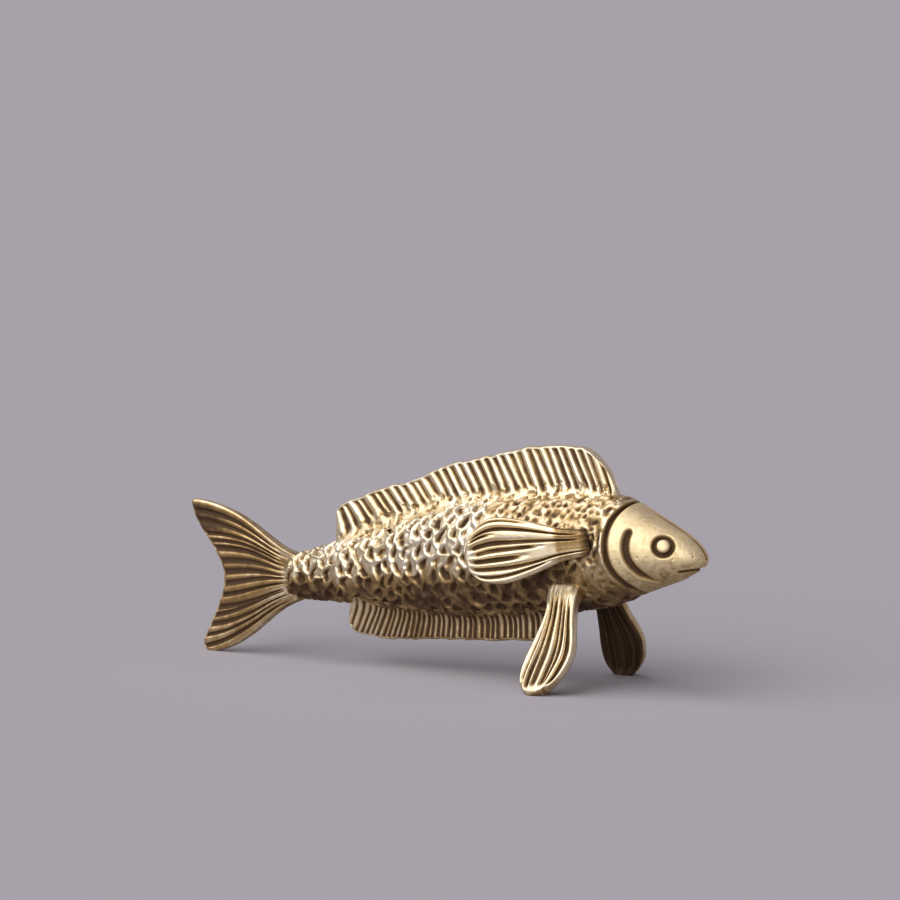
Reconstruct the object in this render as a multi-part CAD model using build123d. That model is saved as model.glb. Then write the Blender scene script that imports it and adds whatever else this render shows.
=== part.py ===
from build123d import *

import os
from math import cos, pi, radians, sin, sqrt

# A fish figurine in antiqued brass, standing on its two pelvic fins and the lower tip of its tail.
# It is an assembly of castings: a trunk that takes the head on a spigot, the middle fins on tongues
# in slots, the paired fins on tenons in sockets, and the eye beads on stems in the head.
# Millimetres. +X points to the snout, +Y to the fish's left and +Z up. The origin is on the surface
# that the figurine stands on, under the middle of its length.

# Lengths along the fish
TAIL_LENGTH = 11.2
TRUNK_LENGTH = 33.1
HEAD_LENGTH = 7.7

# Heights of the body's axis above the standing surface
TAIL_ROOT_HEIGHT = 7.1
GILL_HEIGHT = 11.4
SNOUT_HEIGHT = 11.0
AXIS_ARCH = 0.3

# Oval sections of the body, at the tail root, where it is fullest and behind the head
TAIL_ROOT_DEPTH = 4.2
TAIL_ROOT_WIDTH = 2.9
BODY_DEPTH = 10.5
BODY_WIDTH = 7.2
GILL_DEPTH = 9.2
GILL_WIDTH = 7.0

# Solder gap at every joint between two castings
JOINT_GAP = 0.05

# Head seat: a round saddle behind the gill covers, a spigot at its middle and a groove round it
GILL_SEAT_RADIUS = 5.2
GILL_SEAT_RISE = 0.9
SPIGOT_RADIUS = 1.4
SPIGOT_LENGTH = 3.0
GILL_GROOVE_WIDTH = 0.7
GILL_GROOVE_DEPTH = 0.4

# Eyes: a bead on a stem, in a round sunk ring
EYE_SETBACK = 2.9
EYE_RISE = 0.9
EYE_RING_RADIUS = 0.95
EYE_RING_DEPTH = 0.35
EYE_BEAD_RADIUS = 0.5
EYE_BEAD_HEIGHT = 0.5
EYE_STEM_RADIUS = 0.35
EYE_STEM_LENGTH = 1.0

# Dorsal fin
DORSAL_LENGTH = 27.8
DORSAL_FRONT_SETBACK = 0.7
DORSAL_HEIGHT = 3.7
DORSAL_THICKNESS = 1.3
DORSAL_TONGUE = 0.9

# Anal fin
ANAL_LENGTH = 20.9
ANAL_FRONT_SETBACK = 6.3
ANAL_HEIGHT = 2.4
ANAL_THICKNESS = 1.2
ANAL_TONGUE = 0.9

# Tail fin
TAIL_RISE = 5.9
TAIL_LOWER_LENGTH = 9.75
TAIL_FORK_LENGTH = 7.45
TAIL_THICKNESS = 1.2
TAIL_TONGUE_LENGTH = 2.2
TAIL_TONGUE_HEIGHT = 2.4

# Pectoral fins
PECTORAL_SETBACK = 1.2
PECTORAL_RISE = 0.9
PECTORAL_LENGTH = 10.5
PECTORAL_ROOT_WIDTH = 2.1
PECTORAL_WIDTH = 5.1
PECTORAL_THICKNESS = 0.9
PECTORAL_FLARE = 16.0
PECTORAL_DROOP = 8.0
PECTORAL_TENON_RADIUS = 0.65
PECTORAL_TENON_LENGTH = 1.5

# Pelvic fins
PELVIC_SETBACK = 3.8
PELVIC_ROOT_HEIGHT = 8.0
PELVIC_SPLAY = 29.0
PELVIC_ROOT_WIDTH = 2.4
PELVIC_WIDTH = 3.9
PELVIC_THICKNESS = 1.3
PELVIC_TENON_RADIUS = 0.55
PELVIC_TENON_LENGTH = 1.8

# Scales: round gouges in staggered rows over the flanks, kept a margin away from every joint
SCALE_PITCH = 1.4
SCALE_ROW = 1.2
SCALE_RADIUS = 0.6
SCALE_DEPTH = 0.36
SCALE_MARGIN = 0.25

# Rays: grooves on both faces of the fins, which stop short of the fins' edges
RAY_RADIUS = 0.3
RAY_DEPTH = 0.2
RAY_RIM = 0.4
DORSAL_RAY_PITCH = 0.84
ANAL_RAY_PITCH = 0.7
TAIL_RAY_COUNT = 9
PECTORAL_RAY_COUNT = 4
PELVIC_RAY_COUNT = 4
FAN_RAY_START = 0.34

# Depth filed off the two pelvic fins and the tail tip, so that they stand flat
FOOT_FLAT = 0.25

# Places along X that follow from the lengths
OVERALL_LENGTH = TAIL_LENGTH + TRUNK_LENGTH + HEAD_LENGTH
SNOUT_X = OVERALL_LENGTH / 2
GILL_X = SNOUT_X - HEAD_LENGTH
TAIL_ROOT_X = GILL_X - TRUNK_LENGTH
TAIL_TIP_X = TAIL_ROOT_X - TAIL_LENGTH
GILL_SEAT_X = GILL_X + GILL_SEAT_RADIUS
GILL_SEAT_Z = GILL_HEIGHT + GILL_SEAT_RISE

# Form of the body: where along the trunk it is fullest, and how the head draws in to the snout
FULLEST_SHARE = 0.62
HEAD_DEPTH_POWER = 0.6
HEAD_DEPTH_DIP = 0.1
HEAD_WIDTH_POWER = 0.45
TRUNK_SHARES = (0.0, 0.08, 0.17, 0.26, 0.35, 0.45, 0.56, 0.68, 0.8, 0.9)
HEAD_SHARES = (0.0, 0.15, 0.3, 0.45, 0.6, 0.72, 0.82, 0.9, 0.95, 0.98, 0.995)

# Free edges of the middle fins, from the tail end to the head end: share of the length, and of the height
DORSAL_EDGE = ((0.0, 0.5), (0.03, 0.69), (0.25, 0.77), (0.5, 0.85), (0.8, 1.0), (0.917, 0.9), (0.957, 0.7),
               (0.987, 0.4), (1.0, 0.2))
ANAL_EDGE = ((0.0, 0.15), (0.04, 0.87), (0.2, 1.02), (0.5, 0.85), (0.8, 0.82), (0.96, 0.7), (1.0, 0.1))

# How far the rays of the middle fins lean back, at shares of the length
DORSAL_LEAN = ((0.0, 0.75), (0.3, 0.62), (0.6, 0.46), (0.8, 0.36), (1.0, 0.1))
ANAL_LEAN = ((0.0, 0.5), (0.35, 0.25), (0.6, 0.05), (1.0, 0.0))

RIGHT = -1
LARGE = 4 * OVERALL_LENGTH


def blend(start, end, share):
    """Value that lies a share of the way from start to end."""
    return start + (end - start) * share


def trunk_size(share, root, full, gill):
    """Depth or width of the trunk at a share of its length, from the tail root to the gill."""
    if share <= FULLEST_SHARE:
        t = share / FULLEST_SHARE
        swell = (2 * t * t * (3 - 2 * t) + sin(pi * t / 2)) / 3
        return blend(root, full, swell)
    return blend(full, gill, ((share - FULLEST_SHARE) / (1 - FULLEST_SHARE)) ** 3)


def body_section(x):
    """(axis height, depth, width) of the body's oval section at x."""
    if x <= GILL_X:
        share = (x - TAIL_ROOT_X) / TRUNK_LENGTH
        arch = AXIS_ARCH * sin(pi * share)
        depth = trunk_size(share, TAIL_ROOT_DEPTH, BODY_DEPTH, GILL_DEPTH)
        width = trunk_size(share, TAIL_ROOT_WIDTH, BODY_WIDTH, GILL_WIDTH)
        return blend(TAIL_ROOT_HEIGHT, GILL_HEIGHT, share) + arch, depth, width
    share = min((x - GILL_X) / HEAD_LENGTH, 1.0)
    dip = 1 - HEAD_DEPTH_DIP * sin(pi * share)
    depth = GILL_DEPTH * (1 - share) ** HEAD_DEPTH_POWER * dip
    width = GILL_WIDTH * (1 - share) ** HEAD_WIDTH_POWER
    return blend(GILL_HEIGHT, SNOUT_HEIGHT, share**2), depth, width


def back_height(x):
    """Height of the back, along the middle of the body."""
    height, depth, _ = body_section(x)
    return height + depth / 2


def belly_height(x):
    """Height of the belly, along the middle of the body."""
    height, depth, _ = body_section(x)
    return height - depth / 2


def flank(x, z):
    """Half width of the body at x, at height z."""
    height, depth, width = body_section(x)
    return width / 2 * sqrt(1 - (2 * (z - height) / depth) ** 2)


def flank_normal(x, z):
    """Outward direction of the right flank at x, at height z."""
    step = 0.01
    along = (flank(x + step, z) - flank(x - step, z)) / (2 * step)
    upward = (flank(x, z + step) - flank(x, z - step)) / (2 * step)
    return Vector(-along, RIGHT, -upward).normalized()


def body_form(grow=0.0):
    """Whole smooth form of trunk and head, with its skin moved out by grow at the gill's widest."""
    scale = 1 + 2 * grow / GILL_WIDTH
    stations = [TAIL_ROOT_X + share * TRUNK_LENGTH for share in TRUNK_SHARES]
    stations += [GILL_X + share * HEAD_LENGTH for share in HEAD_SHARES]
    slices = []
    for x in stations:
        height, depth, width = body_section(x)
        plane = Plane(origin=(x, 0, height), x_dir=(0, 0, 1), z_dir=(1, 0, 0))
        slices.append(plane * Ellipse(scale * depth / 2, scale * width / 2))
    return loft(slices + [Vertex(SNOUT_X, 0, SNOUT_HEIGHT)])


def gill_zone(grow=0.0):
    """Everything in front of the head's round seat, with the seat moved back by grow."""
    disc = Pos(GILL_SEAT_X, 0, GILL_SEAT_Z) * Rot(90, 0, 0) * Cylinder(GILL_SEAT_RADIUS + grow, LARGE)
    front = Pos(GILL_SEAT_X - grow + LARGE / 2, 0, GILL_SEAT_Z) * Box(LARGE, LARGE, LARGE)
    return disc + front


def spigot(grow=0.0):
    """Round spigot at the back of the head, or the socket for it."""
    length = GILL_SEAT_RADIUS + SPIGOT_LENGTH + grow
    axis = Pos(GILL_SEAT_X - length / 2, 0, GILL_SEAT_Z) * Rot(0, 90, 0)
    return axis * Cylinder(SPIGOT_RADIUS + grow, length)


def gill_groove():
    """Groove that runs round the back of the gill covers, along the seam of head and trunk."""
    half = GILL_GROOVE_WIDTH / 2
    ring = Cylinder(GILL_SEAT_RADIUS + half, LARGE) - Cylinder(GILL_SEAT_RADIUS - half, LARGE)
    ring = Pos(GILL_SEAT_X, 0, GILL_SEAT_Z) * Rot(90, 0, 0) * ring
    behind = Pos(GILL_SEAT_X - LARGE / 2, 0, GILL_SEAT_Z) * Box(LARGE, LARGE, LARGE)
    return (ring & behind) - body_form(-GILL_GROOVE_DEPTH)


def eye_plane(side):
    """Plane on the skin of the head at an eye, facing outwards."""
    x = SNOUT_X - EYE_SETBACK
    z = body_section(x)[0] + EYE_RISE
    normal = flank_normal(x, z)
    facing = Vector(normal.X, -side * normal.Y, normal.Z)
    return Plane(origin=(x, side * flank(x, z), z), z_dir=facing)


def pillar(plane, radius, low, high):
    """Round pillar along a plane's normal, from one height above the plane to another."""
    return plane * Pos(0, 0, (low + high) / 2) * Cylinder(radius, high - low)


def eye_seat(side):
    """Sunk ring round an eye, with the hole for the bead's stem."""
    plane = eye_plane(side)
    ring = pillar(plane, EYE_RING_RADIUS, -EYE_RING_DEPTH, EYE_RING_RADIUS)
    floor = -EYE_RING_DEPTH - EYE_STEM_LENGTH - JOINT_GAP
    return ring + pillar(plane, EYE_STEM_RADIUS + JOINT_GAP, floor, 0)


def make_eye(side):
    """Domed eye bead that stands on the floor of its ring, with its stem."""
    plane = eye_plane(side)
    base = -EYE_RING_DEPTH + JOINT_GAP
    bead = pillar(plane, EYE_BEAD_RADIUS, base, base + EYE_BEAD_HEIGHT)
    rim = bead.edges().filter_by(GeomType.CIRCLE).sort_by(Axis(plane.origin, plane.z_dir))[-1]
    bead = fillet(rim, 0.8 * min(EYE_BEAD_RADIUS, EYE_BEAD_HEIGHT))
    return bead + pillar(plane, EYE_STEM_RADIUS, -EYE_RING_DEPTH - EYE_STEM_LENGTH, base)


def spread_points(points, count):
    """Points at the middles of equal shares of a line through points."""
    lengths = [Vector(*b).sub(Vector(*a)).length for a, b in zip(points, points[1:])]
    found = []
    for index in range(count):
        rest = (index + 0.5) / count * sum(lengths)
        for start, end, length in zip(points, points[1:], lengths):
            if rest <= length:
                found.append(tuple(blend(a, b, rest / length) for a, b in zip(start, end)))
                break
            rest -= length
    return found


def ray_grooves(plane, rays, thickness):
    """Round grooves along rays, drawn as pairs of points on a plane, on both faces of a fin."""
    grooves = []
    for start, end in rays:
        for face in (-1, 1):
            offset = face * (thickness / 2 + RAY_RADIUS - RAY_DEPTH)
            a, b = (plane.from_local_coords((x, y, offset)) for x, y in (start, end))
            grooves.append(pillar(Plane(origin=a, z_dir=b - a), RAY_RADIUS, 0, (b - a).length))
    return grooves


def plate(outline, thickness):
    """Plate in the fish's middle plane, from edges drawn as (x, z)."""
    return extrude(Plane.XZ * make_face(outline), thickness / 2, both=True)


def fin_strip(stations, skin, edge, tongue, thickness):
    """Long middle fin: its free edge, and a tongue that follows the body's skin inside the body."""
    inner = [(x, skin(x) + tongue) for x in stations]
    outline = [Spline(*edge), Spline(*inner), Line(edge[0], inner[0]), Line(edge[-1], inner[-1])]
    return plate(outline, thickness)


def dorsal_strip(grow=0.0):
    """Dorsal fin, or the slot for its tongue."""
    front = GILL_X - DORSAL_FRONT_SETBACK + grow
    rear = front - DORSAL_LENGTH - 2 * grow
    edge = []
    for share, height in DORSAL_EDGE:
        x = blend(rear, front, share)
        edge.append((x, back_height(x) + height * DORSAL_HEIGHT))
    stations = [blend(rear, front, share) for share in (0, 0.25, 0.5, 0.75, 1)]
    return fin_strip(stations, back_height, edge, -DORSAL_TONGUE - grow, DORSAL_THICKNESS + 2 * grow)


def anal_strip(grow=0.0):
    """Anal fin, or the slot for its tongue."""
    front = GILL_X - ANAL_FRONT_SETBACK + grow
    rear = front - ANAL_LENGTH - 2 * grow
    edge = []
    for share, height in ANAL_EDGE:
        x = blend(rear, front, share)
        edge.append((x, belly_height(x) - height * ANAL_HEIGHT))
    stations = [blend(rear, front, share) for share in (0, 0.25, 0.5, 0.75, 1)]
    return fin_strip(stations, belly_height, edge, ANAL_TONGUE + grow, ANAL_THICKNESS + 2 * grow)


def along_table(table, share):
    """Value of a table of (share, value) pairs at a share."""
    for (low, first), (high, last) in zip(table, table[1:]):
        if share <= high:
            return blend(first, last, (share - low) / (high - low))
    return table[-1][1]


def strip_rays(front, length, pitch, skin, height, edge, lean):
    """Rays of a middle fin, from a rim short of its edge to the same distance from the body's skin."""
    rays = []
    for index in range(1, int(0.9 * length / pitch)):
        share = index * pitch / length
        x = front - length + index * pitch
        rise = along_table(edge, share) * height
        foot_x = x + along_table(lean, share) * abs(rise)
        away = RAY_RIM if height > 0 else -RAY_RIM
        rays.append(((foot_x, skin(foot_x) + away), (x, skin(x) + rise - away)))
    return rays


def make_dorsal_fin():
    """Dorsal fin with its rays."""
    front = GILL_X - DORSAL_FRONT_SETBACK
    rays = strip_rays(front, DORSAL_LENGTH, DORSAL_RAY_PITCH, back_height, DORSAL_HEIGHT, DORSAL_EDGE, DORSAL_LEAN)
    return dorsal_strip() - ray_grooves(Plane.XZ, rays, DORSAL_THICKNESS)


def make_anal_fin():
    """Anal fin with its rays."""
    front = GILL_X - ANAL_FRONT_SETBACK
    rays = strip_rays(front, ANAL_LENGTH, ANAL_RAY_PITCH, belly_height, -ANAL_HEIGHT, ANAL_EDGE, ANAL_LEAN)
    return anal_strip() - ray_grooves(Plane.XZ, rays, ANAL_THICKNESS)


def tail_tongue(grow=0.0):
    """Tongue at the front of the tail fin, or the slot for it."""
    length = TAIL_TONGUE_LENGTH + grow
    height = TAIL_TONGUE_HEIGHT + 2 * grow
    tongue = Box(length + JOINT_GAP, TAIL_THICKNESS + 2 * grow, height)
    return Pos(TAIL_ROOT_X + (length - JOINT_GAP) / 2, 0, TAIL_ROOT_HEIGHT) * tongue


def above_floor(shape):
    """Shape filed flat at the standing surface."""
    return shape - Pos(0, 0, -LARGE / 2) * Box(LARGE, LARGE, LARGE)


def make_tail_fin():
    """Forked tail fin with its tongue, filed flat where the lower tip stands."""
    root = TAIL_ROOT_X - JOINT_GAP
    half = TAIL_ROOT_DEPTH / 2
    upper_tip = (TAIL_TIP_X, TAIL_ROOT_HEIGHT + TAIL_RISE)
    fork = (TAIL_ROOT_X - TAIL_FORK_LENGTH, TAIL_ROOT_HEIGHT - 0.1 * TAIL_RISE)
    lower_back = (TAIL_ROOT_X - TAIL_LOWER_LENGTH, 0.1 * TAIL_RISE)
    lower_tip = (TAIL_ROOT_X - TAIL_LOWER_LENGTH + 0.1 * TAIL_RISE, -FOOT_FLAT)
    root_top = (root, TAIL_ROOT_HEIGHT + half)
    root_bottom = (root, TAIL_ROOT_HEIGHT - half)

    def upper(along, rise):
        return root - along * TAIL_LENGTH, TAIL_ROOT_HEIGHT + half + rise * (TAIL_RISE - half)

    def lower(along, drop):
        return root - along * TAIL_LOWER_LENGTH, (TAIL_ROOT_HEIGHT - half) * (1 - drop)

    outline = [
        Spline(root_top, upper(0.2, 0.23), upper(0.55, 0.76), upper(0.87, 1.03), upper_tip),
        Spline(upper_tip, (blend(TAIL_TIP_X, fork[0], 0.66), blend(upper_tip[1], fork[1], 0.5)), fork),
        Spline(fork, (blend(fork[0], lower_back[0], 0.3), blend(fork[1], lower_back[1], 0.4)), lower_back),
        Line(lower_back, lower_tip),
        Spline(lower_tip, lower(0.65, 0.86), lower(0.24, 0.33), root_bottom),
        Line(root_bottom, root_top),
    ]
    trailing = [upper_tip, (blend(TAIL_TIP_X, fork[0], 0.66), blend(upper_tip[1], fork[1], 0.5)), fork,
                (blend(fork[0], lower_back[0], 0.3), blend(fork[1], lower_back[1], 0.4)), lower_back]
    ends = spread_points(trailing, TAIL_RAY_COUNT + 2)[1:-1]
    starts = spread_points([root_top, root_bottom], TAIL_RAY_COUNT + 2)[1:-1]
    rays = []
    for (x, z), (end_x, end_z) in zip(starts, ends):
        rays.append(((blend(x, end_x, FAN_RAY_START), blend(z, end_z, FAN_RAY_START)), (end_x + RAY_RIM, end_z)))
    blade = plate(outline, TAIL_THICKNESS) - ray_grooves(Plane.XZ, rays, TAIL_THICKNESS)
    return above_floor(blade + tail_tongue())


def fan(plane, length, front, back, thickness, ray_count):
    """Flat fin drawn on a plane: x along its length, its front and back edges as (share, y), and its rays."""
    front_edge = [(share * length, y) for share, y in front]
    back_edge = [(share * length, y) for share, y in back]
    tip = (length, (front_edge[-1][1] + back_edge[-1][1]) / 2)
    outline = [
        Spline(*front_edge),
        ThreePointArc(front_edge[-1], tip, back_edge[-1]),
        Spline(*back_edge),
        Line(front_edge[0], back_edge[0]),
    ]
    blade = extrude(plane * make_face(outline), thickness / 2, both=True)
    starts = spread_points([front_edge[0], back_edge[0]], ray_count)
    ends = spread_points([front_edge[-2], front_edge[-1], tip, back_edge[-1], back_edge[-2]], ray_count)
    rays = []
    for (x, y), (end_x, end_y) in zip(starts, ends):
        first, last = blend(x, end_x, FAN_RAY_START), end_x - 2 * RAY_RIM
        rays.append(((first, blend(y, end_y, (first - x) / (end_x - x))),
                     (last, blend(y, end_y, (last - x) / (end_x - x)))))
    return blade - ray_grooves(plane, rays, thickness)


def pectoral_root():
    """Point on the right flank where the pectoral fin is rooted."""
    x = GILL_X - PECTORAL_SETBACK
    z = body_section(x)[0] + PECTORAL_RISE
    return Vector(x, RIGHT * flank(x, z), z)


def pectoral_tenon(grow=0.0):
    """Tenon of the right pectoral fin, or the socket for it."""
    root = pectoral_root()
    plane = Plane(origin=root, z_dir=(0, RIGHT, 0))
    return pillar(plane, PECTORAL_TENON_RADIUS + grow, -PECTORAL_TENON_LENGTH - grow, PECTORAL_THICKNESS)


def make_pectoral_fin():
    """Right pectoral fin: a fan swept back off the flank, on a tenon."""
    flare, droop = radians(PECTORAL_FLARE), radians(PECTORAL_DROOP)
    along = Vector(-cos(flare) * cos(droop), RIGHT * sin(flare) * cos(droop), -sin(droop))
    outward = Vector(sin(flare), RIGHT * cos(flare), 0)
    root = pectoral_root() + outward * (PECTORAL_THICKNESS / 2)
    plane = Plane(origin=root, x_dir=along, z_dir=-outward)
    half, wide = PECTORAL_ROOT_WIDTH / 2, PECTORAL_WIDTH / 2
    upper = ((-0.05, half), (0.25, 0.63 * wide), (0.5, 0.98 * wide), (0.72, 1.16 * wide), (0.86, 1.0 * wide),
             (0.94, 0.63 * wide))
    lower = ((-0.05, -half), (0.25, -0.51 * wide), (0.44, -0.78 * wide), (0.67, -1.0 * wide), (0.86, -0.94 * wide),
             (0.95, -0.63 * wide))
    blade = fan(plane, PECTORAL_LENGTH, upper, lower, PECTORAL_THICKNESS, PECTORAL_RAY_COUNT)
    return blade - body_form(JOINT_GAP) + pectoral_tenon()


def pelvic_plane():
    """Plane of the right pelvic fin: origin at its root, x down the fin, y forwards."""
    x = GILL_X - PELVIC_SETBACK
    splay = radians(PELVIC_SPLAY)
    root = Vector(x, RIGHT * flank(x, PELVIC_ROOT_HEIGHT), PELVIC_ROOT_HEIGHT)
    down = Vector(0, RIGHT * sin(splay), -cos(splay))
    return Plane(origin=root, x_dir=down, z_dir=down.cross(Vector(1, 0, 0)))


def pelvic_tenon(grow=0.0):
    """Tenon of the right pelvic fin, or the socket for it."""
    plane = pelvic_plane()
    inner = plane.origin - plane.x_dir * (PELVIC_TENON_LENGTH + grow)
    axis = Plane(origin=inner, z_dir=plane.x_dir)
    return pillar(axis, PELVIC_TENON_RADIUS + grow, 0, PELVIC_TENON_LENGTH + PELVIC_ROOT_WIDTH / 2)


def make_pelvic_fin():
    """Right pelvic fin: a paddle that the figurine stands on, filed flat at the foot, on a tenon."""
    length = PELVIC_ROOT_HEIGHT / cos(radians(PELVIC_SPLAY)) + FOOT_FLAT
    half, wide = PELVIC_ROOT_WIDTH / 2, PELVIC_WIDTH / 2
    front = ((-0.05, half), (0.25, 1.3 * half), (0.55, 1.17 * wide), (0.79, 0.92 * wide), (0.9, 0.55 * wide))
    back = ((-0.05, -half), (0.25, -0.95 * half), (0.66, -1.0 * wide), (0.85, -0.98 * wide), (0.93, -0.78 * wide))
    blade = fan(pelvic_plane(), length, front, back, PELVIC_THICKNESS, PELVIC_RAY_COUNT)
    return above_floor(blade - body_form(JOINT_GAP) + pelvic_tenon())


def mirrored(shape):
    """The same shape on the fish's other side."""
    return mirror(shape, about=Plane.XZ)


def make_head(form):
    """Head casting in front of the gill seat, with its spigot and the eyes' seats."""
    head = (form & gill_zone()) - gill_groove() + spigot()
    return head - eye_seat(RIGHT) - eye_seat(-RIGHT)


def skin_point(x, over):
    """Point of the right flank at x, and its outward direction, at a distance over the skin from its middle."""
    height, depth, width = body_section(x)
    angle, step = 0.0, 0.002
    rest = abs(over)
    while rest > 0 and angle < pi / 2:
        rest -= step * sqrt((width / 2 * sin(angle)) ** 2 + (depth / 2 * cos(angle)) ** 2)
        angle += step
    if angle >= pi / 2:
        return None, None
    upward = 1 if over > 0 else -1
    ahead = body_section(x + step)
    slope = Vector(step, RIGHT * (ahead[2] - width) / 2 * cos(angle),
                   ahead[0] - height + upward * (ahead[1] - depth) / 2 * sin(angle))
    round_it = Vector(0, -RIGHT * width / 2 * sin(angle), upward * depth / 2 * cos(angle))
    normal = slope.cross(round_it).normalized()
    point = Vector(x, RIGHT * width / 2 * cos(angle), height + upward * depth / 2 * sin(angle))
    return point, normal if normal.Y * RIGHT > 0 else -normal


def clear_of_joints(point):
    """Whether a scale at a point of the right flank stays a margin away from every joint of the trunk."""
    reach = SCALE_RADIUS + SCALE_MARGIN
    middle = body_section(point.X)[0]
    fin = DORSAL_THICKNESS if point.Z > middle else ANAL_THICKNESS
    gill = sqrt((point.X - GILL_SEAT_X) ** 2 + (point.Z - GILL_SEAT_Z) ** 2)
    return (
        point.X > TAIL_ROOT_X + reach
        and abs(point.Y) > fin / 2 + reach
        and point.X < GILL_SEAT_X
        and gill > GILL_SEAT_RADIUS + GILL_GROOVE_WIDTH / 2 + reach
        and (point - pectoral_root()).length > PECTORAL_TENON_RADIUS + reach
        and (point - pelvic_plane().origin).length > PELVIC_TENON_RADIUS + reach
    )


def scales():
    """Gouges that make the scales of the right flank."""
    found = []
    rows = int(BODY_DEPTH / SCALE_ROW)
    for row in range(-rows, rows + 1):
        for column in range(int((TRUNK_LENGTH + GILL_SEAT_RADIUS) / SCALE_PITCH)):
            x = TAIL_ROOT_X + (column + (0.5 if row % 2 else 0)) * SCALE_PITCH
            point, normal = skin_point(x, row * SCALE_ROW)
            if point is not None and clear_of_joints(point):
                centre = point + normal * (SCALE_RADIUS - SCALE_DEPTH)
                plane = Plane(origin=centre, x_dir=normal, z_dir=normal.cross(Vector(1, 0, 0)))
                found.append(plane * Sphere(SCALE_RADIUS))
    return found


def make_trunk(form):
    """Trunk casting behind the gill seat, with its scales and a slot or socket for every other piece."""
    trunk = form - gill_zone(JOINT_GAP) - gill_groove() - spigot(JOINT_GAP)
    trunk -= dorsal_strip(JOINT_GAP)
    trunk -= anal_strip(JOINT_GAP)
    trunk -= tail_tongue(JOINT_GAP)
    for socket in (pectoral_tenon(JOINT_GAP), pelvic_tenon(JOINT_GAP)):
        trunk -= socket
        trunk -= mirrored(socket)
    gouges = scales()
    return trunk - (gouges + [mirrored(gouge) for gouge in gouges])


def main():
    form = body_form()
    pectoral, pelvic = make_pectoral_fin(), make_pelvic_fin()
    pieces = {
        "trunk": make_trunk(form),
        "head": make_head(form),
        "eye_right": make_eye(RIGHT),
        "eye_left": make_eye(-RIGHT),
        "dorsal_fin": make_dorsal_fin(),
        "anal_fin": make_anal_fin(),
        "tail_fin": make_tail_fin(),
        "pectoral_fin_right": pectoral,
        "pectoral_fin_left": mirrored(pectoral),
        "pelvic_fin_right": pelvic,
        "pelvic_fin_left": mirrored(pelvic),
    }
    os.makedirs("parts", exist_ok=True)
    for name, piece in pieces.items():
        export_step(piece, f"parts/{name}.step")
        print(name, len(piece.solids()), round(piece.volume, 2), piece.bounding_box())


main()
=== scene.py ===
"""Fish figurine in antiqued brass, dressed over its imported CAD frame.

Every piece is modelled in millimetres in the frame of the CAD model (+X to the snout, +Y to the
fish's left, +Z up, the floor at zero) and brought to metres when it is finished.
"""

import logging
import math
from abc import ABC, abstractmethod
from collections.abc import Callable, Iterator
from contextlib import contextmanager
from dataclasses import dataclass
from enum import Enum

import bpy
import numpy as np
from mathutils import Euler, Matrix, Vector


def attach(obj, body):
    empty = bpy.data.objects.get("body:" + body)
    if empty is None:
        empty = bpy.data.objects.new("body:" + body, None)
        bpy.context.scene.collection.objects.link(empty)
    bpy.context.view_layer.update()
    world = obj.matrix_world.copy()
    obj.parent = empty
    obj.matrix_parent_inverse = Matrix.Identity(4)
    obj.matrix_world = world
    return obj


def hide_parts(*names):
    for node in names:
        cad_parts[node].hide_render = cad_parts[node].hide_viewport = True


logging.basicConfig(level=logging.INFO, format="%(message)s")
LOG = logging.getLogger("fish")

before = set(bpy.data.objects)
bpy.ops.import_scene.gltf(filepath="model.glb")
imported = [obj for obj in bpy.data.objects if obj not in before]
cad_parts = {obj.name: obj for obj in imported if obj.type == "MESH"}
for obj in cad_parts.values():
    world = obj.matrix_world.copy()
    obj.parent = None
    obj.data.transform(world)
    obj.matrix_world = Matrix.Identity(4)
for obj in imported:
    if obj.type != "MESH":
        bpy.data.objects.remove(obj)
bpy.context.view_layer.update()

Array = np.ndarray
Piece = bpy.types.Object
Socket = bpy.types.NodeSocket
Sockets = bpy.types.bpy_prop_collection
Pair = tuple[float, float]
Triple = tuple[float, float, float]
Place = Callable[[Array, Array], Array]

MM = 0.001
# Random values on each side of a field before it repeats, and the cells that it is shifted by
FIELD_SIZE = 32
FIELD_SHIFT = 500.0
# Straight steps between two points of a curve, and along the whole edge of a fin
CURVE_STEPS = 24
EDGE_STEPS = 600
# Steps that the gill seam is looked for in, and points of the sum that measures round the body
SEAM_STEPS = 400
GIRTH_POINTS = 8
# Range of random phases, a full turn in radians
PHASES = 6.3
# Small move along or round the body that its directions are measured with
SKIN_STEP = 0.02
# Least and most patina, with painted shade, that a piece is marked with
PATINA_AND_SHADE_RANGE = (-0.4, 1.3)
# Grooves between the rays of the long fins, as places along X at their free edges
DORSAL_RAYS = [-9.9] + [-10.2 + 0.84 * step for step in range(1, 31)] + [16.2]
ANAL_RAYS = [-8.75 + 0.56 * step for step in range(37)]
# Places along X at the free edge of the back fin, and where rays from there meet the back
DORSAL_EDGE = (-10.2, -3.0, 3.0, 9.0, 15.0)
DORSAL_FOOT = (-8.9, -1.4, 4.5, 10.2, 16.0)


class Side(Enum):
    """The fish's two sides, as the sign of Y."""

    RIGHT = -1
    LEFT = 1


class Slot(Enum):
    """The record's material slots."""

    SCALED = "scaled_brass"
    SMOOTH = "smooth_brass"
    FIN = "fin_brass"


# Numbers


def smooth_step(low: float, high: float, value: Array) -> Array:
    """Soft ramp from 0 at low to 1 at high."""
    t = np.clip((value - low) / (high - low), 0.0, 1.0)
    return t * t * (3 - 2 * t)


def hump(value: Array, width: Array | float, power: float = 2.0) -> Array:
    """Soft bump: 1 where the value is 0, falling off over the width to both sides."""
    return np.exp(-(np.abs(value / width) ** power))


def unit(vectors: Array) -> Array:
    """Vectors brought to length one."""
    return vectors / np.linalg.norm(vectors, axis=-1, keepdims=True)


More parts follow.
